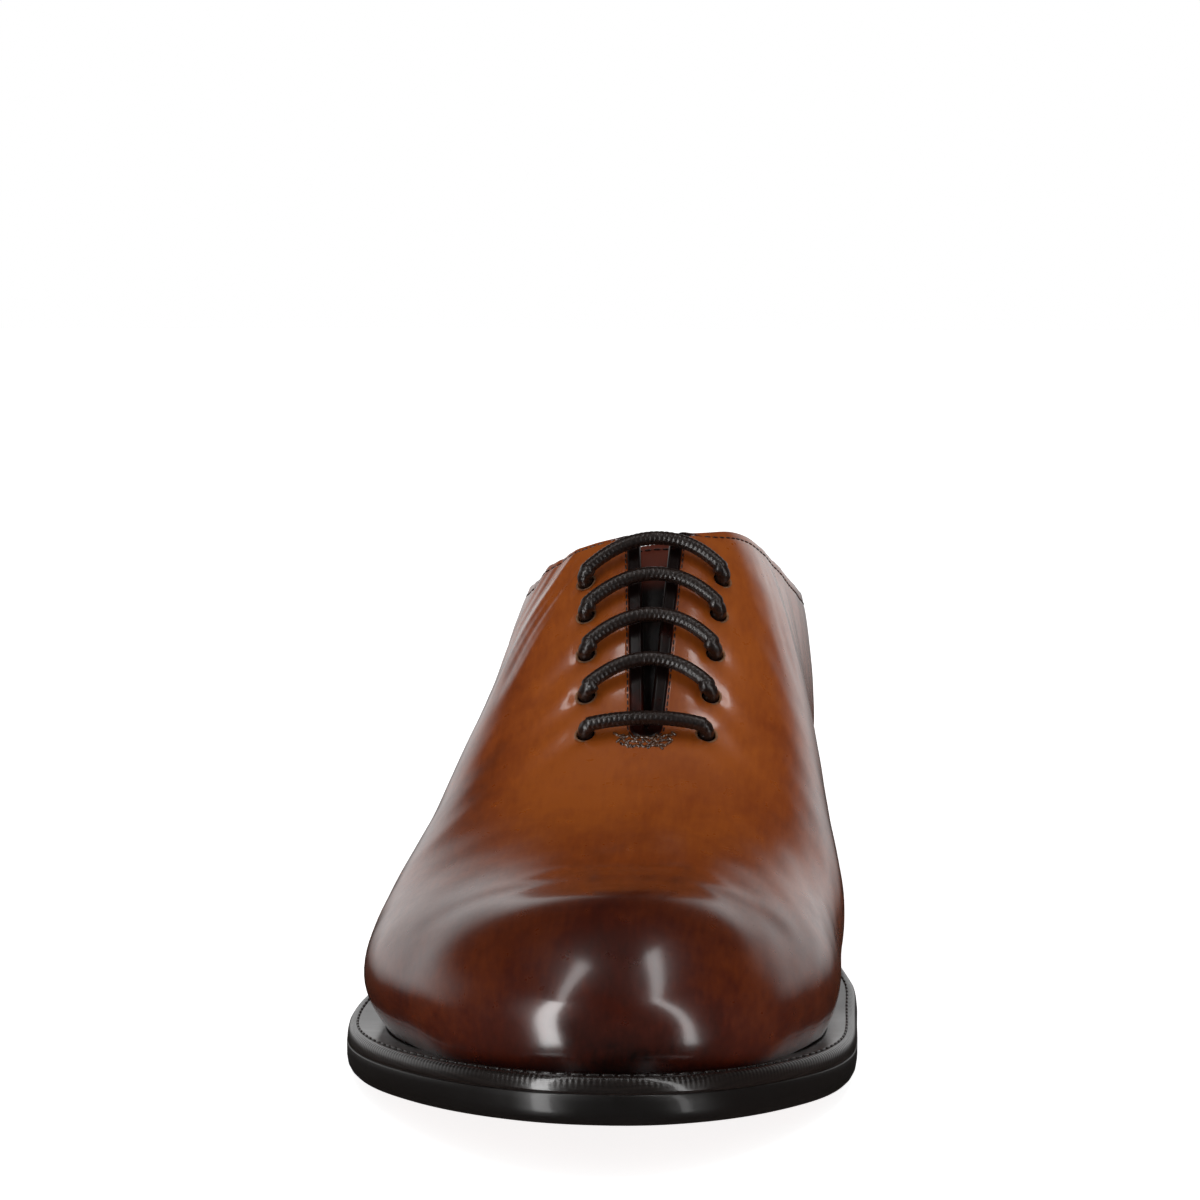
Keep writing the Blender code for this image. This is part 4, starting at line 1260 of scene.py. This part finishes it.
def make_sock():
    """The insole's top + the sock's thickness, almost nothing at its edge; darker at the heel and toe."""
    share = (1 - np.cos(np.linspace(0, math.pi, SOCK_ROWS))) / 2
    ys = SOCK_INSET + (LAST_LENGTH - 2 * SOCK_INSET) * share
    plan = plan_patch(ys, lambda side, y: -SOCK_INSET, SOCK_COLUMNS)
    rise = np.full(plan.shape[:2], SOCK_THICKNESS)
    rise[:, [0, -1]] = rise[[0, -1]] = SOCK_EDGE
    z = feather_z(plan[..., 1]) + WALL + SEAT_GAP + INSOLE_THICKNESS + rise
    tone = 0.25 + 0.3 * step_up((np.abs(plan[..., 1] - 0.15) - 0.04) / 0.1)
    faces = grid_faces(SOCK_ROWS, SOCK_COLUMNS, False)[:, ::-1]
    sock = add_mesh("sock_lining", to_world(with_height(plan, z)), faces, LINING_CALF, {"tone": tone})
    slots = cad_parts["insole"].data.materials
    slots.clear()
    slots.append(plain_material("insole leather board", "#a87f52", "#8a6238", 300.0, 0.7))


make_sock()


# Welt and sole edge
# A storm-black welt wheeled along its rim and stitched to the sole; its edge and the sole's are inked, waxed
# and ironed into one rounded black band, with a fine joint line between them.
EDGE_BLACK = ["#15100e", "#241a16"]
HEEL_LENGTH = 0.074
WHEEL_PITCH = 0.0011
WHEEL_DEPTH = 0.00012
BREAST_RIB = 30
SOLE_FAN_RIBS = 301
STITCH_COLUMN = 3
WELT_RIM = table(
    "inset height rim",
    (0.0090, 0.00300, 0.0),
    (0.0030, 0.00300, 0.0),
    (0.0023, 0.00303, 0.1),
    (0.0018, 0.00295, 0.1),
    (0.0013, 0.00301, 0.3),
    (0.0008, 0.00292, 0.4),
    (0.0003, 0.00262, 0.4),
    (0.0000, 0.00215, 0.3),
    (-0.0002, 0.00130, 0.1),
    (-0.0003, 0.00040, 0.0),
    (-0.0003, -0.00024, 0.0),
    (0.0090, -0.00024, 0.0),
)
SOLE_RIM = table(
    "inset height rim",
    (0.0090, 1.000, 0.0),
    (-0.0003, 1.000, 0.0),
    (-0.0004, 0.960, 0.0),
    (-0.0004, 0.750, 0.0),
    (-0.0004, 0.500, 0.0),
    (-0.0002, 0.280, 0.0),
    (0.0003, 0.120, 0.0),
    (0.0009, 0.020, 0.0),
    (0.0016, 0.000, 0.0),
)


def make_edge_leather():
    """Ink-black waxed edge: level streaks of colour, and wheel marks as a sine along the rim's length."""
    streaks = {"coat": 0.6, "bump": 0.2, "stretch": (1.0, 1.0, 45.0)}
    material = plain_material("waxed black sole edge", *EDGE_BLACK, 60.0, 0.32, **streaks)
    tree = material.node_tree
    shader = tree.nodes["Principled BSDF"]
    run = add_node(tree, "ShaderNodeAttribute", attribute_name="run").outputs["Fac"]
    rim = add_node(tree, "ShaderNodeAttribute", attribute_name="rim").outputs["Fac"]
    wave = math_node(tree, "SINE", math_node(tree, "MULTIPLY", run, 2 * math.pi / WHEEL_PITCH))
    marks = {
        "Height": math_node(tree, "MULTIPLY", wave, rim),
        "Strength": 0.6,
        "Distance": WHEEL_DEPTH,
        "Normal": shader.inputs["Normal"].links[0].from_socket,
    }
    tree.links.new(add_node(tree, "ShaderNodeBump", marks).outputs[0], shader.inputs["Normal"])
    return material


EDGE_LEATHER = make_edge_leather()
BEFORE_BREAST = np.linspace(HEEL_ROUNDING, HEEL_LENGTH - SEAT_GAP, BREAST_RIB)
SOLE_SIDES = np.concatenate([BEFORE_BREAST, np.linspace(HEEL_LENGTH, THROAT_END, 90)[:-1]])
SOLE_LOOP = loop_of_rays(SOLE_SIDES, SOLE_FAN_RIBS, np.linspace(0, -math.pi, 121)[1:-1])
OUTLINE = ring(SOLE_LOOP, sole_reach)


def inward_normals(outline, origin):
    """Tangent turned a quarter, on the side of the loop's own origin."""
    tangent = np.roll(outline, -1, 0) - np.roll(outline, 1, 0)
    normal = unit(np.stack([-tangent[:, 1], tangent[:, 0]], 1))
    return normal * np.sign((normal * (origin - outline)).sum(1))[:, None]


INWARD = inward_normals(OUTLINE, SOLE_LOOP[:, :2])
RUN = run_length(OUTLINE)


def inset_plan(rim):
    """outline + inward normal inset."""
    return OUTLINE[:, None] + INWARD[:, None] * rim["inset"][None, :, None]


def swept(rim, base, height):
    """The inset plan at base(y) + height share."""
    plan = inset_plan(rim)
    return with_height(plan, base(plan[..., 1]) + rim["height"] * height)


def make_welt():
    """The rim swept round the outline, cut at the heel's breast into the welt and the heel's rand."""
    ribs = np.arange(len(OUTLINE))
    points = swept(WELT_RIM, welt_base, 1)
    welt_end = 2 * len(SOLE_SIDES) + SOLE_FAN_RIBS - BREAST_RIB
    front = (ribs >= BREAST_RIB) & (ribs < welt_end)
    behind = np.roll(ribs, -welt_end)[: (~front).sum()]
    pieces = (("welt_leather", ribs[front], "welt"), ("heel_rand_leather", behind, "heel_rand"))
    for name, chosen, node in pieces:
        part = points[chosen]
        faces = grid_faces(*part.shape[:2], False)[:, ::-1]
        marks = {"run": np.repeat(RUN[chosen], part.shape[1]), "rim": np.tile(WELT_RIM["rim"], len(chosen))}
        piece = add_mesh(name, to_world(part), faces, EDGE_LEATHER, marks)
        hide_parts(node)
    row = points[front, STITCH_COLUMN] + np.array([0, 0, FINE])
    up = np.tile([0, 0, 1.0], (len(row), 1))
    thread = plain_material("waxed black linen thread", "#191210", "#2c221d", 2000.0, 0.4, coat=0.3)
    add_stitches("welt_stitches", [(row, up)], 0.0029, 0.0024, 0.00028, thread)


make_welt()


# Outsole
# Close-grained sole leather: black inked edge, the tread dyed red brown and polished, with a closed channel
# over the sewn seam.
CHANNEL = table("inset depth", (0.0038, 0.0), (0.0044, 0.00015), (0.0050, 0.0))
TREAD_RINGS = 25


def make_outsole():
    """The rim, then the underside: the channel's three lines, and shares of the way to the middle line."""
    rim = swept(SOLE_RIM, underside, OUTSOLE_THICKNESS)
    lines = inset_plan(CHANNEL)
    share = np.linspace(1, 0, TREAD_RINGS + 1)[1:][None, :, None]
    origin = SOLE_LOOP[:, None, :2]
    plan = np.concatenate([lines, origin + (lines[:, -1:] - origin) * share], 1)
    lift = np.concatenate([CHANNEL["depth"], np.zeros(TREAD_RINGS)])
    points = np.concatenate([rim, with_height(plan, underside(plan[..., 1]) + lift)], 1)
    inked = np.zeros(points.shape[:2])
    inked[:, : rim.shape[1]] = 1
    material = plain_material("polished sole leather", "#5a2b1a", "#3d1b10", 90.0, 0.40, coat=0.2, bump=0.15)
    tree = material.node_tree
    shader = tree.nodes["Principled BSDF"]
    tread = shader.inputs["Base Color"].links[0].from_socket
    edge = add_node(tree, "ShaderNodeAttribute", attribute_name="inked").outputs["Fac"]
    both = add_node(tree, "ShaderNodeMix", {0: edge, 6: tread, 7: linear(EDGE_BLACK[0])}, data_type="RGBA")
    tree.links.new(both.outputs[2], shader.inputs["Base Color"])
    faces = grid_faces(*inked.shape, True)[:, ::-1]
    outsole = add_mesh("outsole_leather", to_world(points), faces, material, {"inked": inked})
    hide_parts("outsole")


make_outsole()


# Heel
# Three lifts of black waxed leather with fine joint lines, hollowed at the breast, on a nailed rubber top
# piece.
HEEL_LIFTS = 3
HEEL_TAPER = 0.0015
BREAST_CURVE = 0.004
TOP_PIECE_THICKNESS = 0.006
JOINT_DEPTH = 0.00014
JOINT_WIDTH = 0.00022
LIFT_RINGS = 60
TOP_PIECE_RINGS = 8
HEEL_CENTRE = (0, 0.036, 0.0)
NAIL_RADIUS = 0.0009
NAIL_INSET = 0.008
NAIL_PLACES = slice(8, 118, 11)
NAIL_POINTS = 16
NAIL_HEAD = table("radius height", (1, 0.0), (0.7, -0.0001), (0, -0.00012))


def heel_outline(inset):
    """Closed plan: the sole's outline drawn in, round the back, then the breast's hollow curve."""
    sides = np.linspace(HEEL_ROUNDING, HEEL_LENGTH - inset, 24)
    back = fan(HEEL_ROUNDING, np.linspace(0, -math.pi, 81)[1:-1])
    loop = np.concatenate([rays(sides[::-1], 1), back, rays(sides, -1)])
    around = ring(loop, lambda side, y: sole_reach(side, y) - inset)
    across = np.linspace(-1, 1, 33)[1:-1]
    x = (around[0, 0] + around[-1, 0]) / 2 + across * (around[0, 0] - around[-1, 0]) / 2
    breast = np.stack([x, around[0, 1] - BREAST_CURVE * (1 - across**2)], 1)
    return np.concatenate([around, breast])


def heel_wall(levels, taper):
    """Outline at each level, z = share of the seat's height, drawn in by the joint lines' grooves."""
    rings = []
    for level in levels:
        groove = 0
        for joint in range(HEEL_LIFTS):
            height = TOP_PIECE_THICKNESS + (HEEL_HEIGHT - TOP_PIECE_THICKNESS) * joint / HEEL_LIFTS
            groove += JOINT_DEPTH * hill(level * HEEL_HEIGHT - height, JOINT_WIDTH)
        plan = heel_outline(taper * (1 - level) + groove)
        rings.append(with_height(plan, level * (underside(plan[:, 1]) - SEAT_GAP)))
    return np.stack(rings, 1)


def closed_under(points, centre):
    """The lowest ring drawn in to a centre in eight steps, so the bottom is covered."""
    share = np.linspace(1, 0, 9)[1:][None, :, None]
    return np.concatenate([centre + (points[:, :1] - centre) * share[:, ::-1], points], 1)


def make_heel():
    """The outline at each level, wide at the seat and drawn in below, and the nails' heads under it."""
    seat = TOP_PIECE_THICKNESS / HEEL_HEIGHT
    stack = heel_wall(np.linspace(seat, 1, LIFT_RINGS), HEEL_TAPER)
    top_piece = heel_wall(np.linspace(0, seat, TOP_PIECE_RINGS), HEEL_TAPER)
    top_piece[..., 2] = np.linspace(0, TOP_PIECE_THICKNESS - SEAT_GAP, TOP_PIECE_RINGS)
    top_piece = closed_under(top_piece, np.array(HEEL_CENTRE))
    rubber = plain_material("black heel rubber", "#0e0d0c", "#1a1817", 800.0, 0.55)
    lifts = [f"heel_lift_{lift + 1}" for lift in range(HEEL_LIFTS)]
    for name, points, material, nodes, slot in (
        ("heel_stack", stack, EDGE_LEATHER, lifts, "edge_leather"),
        ("heel_rubber", top_piece, rubber, ["heel_top_piece"], "top_piece_rubber"),
    ):
        none = np.zeros(points.shape[:2])
        faces = grid_faces(*points.shape[:2], True)
        piece = add_mesh(name, to_world(points), faces, material, {"run": none, "rim": none})
        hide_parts(*nodes)
    places = heel_outline(NAIL_INSET)[NAIL_PLACES]
    angle = full_turn(NAIL_POINTS)[:, None]
    across = NAIL_RADIUS * NAIL_HEAD["radius"] * np.array([np.cos(angle), np.sin(angle)])
    head = with_height(np.moveaxis(across, 0, -1), np.tile(NAIL_HEAD["height"], (NAIL_POINTS, 1)))
    heads = with_height(places, np.zeros(len(places)))[:, None, None] + head
    faces = repeated(grid_faces(NAIL_POINTS, len(NAIL_HEAD["height"]), True), len(places))
    brass = plain_material("brass nail heads", "#8a6a2c", "#5f4719", 900.0, 0.35)
    brass.node_tree.nodes["Principled BSDF"].inputs["Metallic"].default_value = 1.0
    add_mesh("heel_nails", to_world(heads), faces, brass)


make_heel()
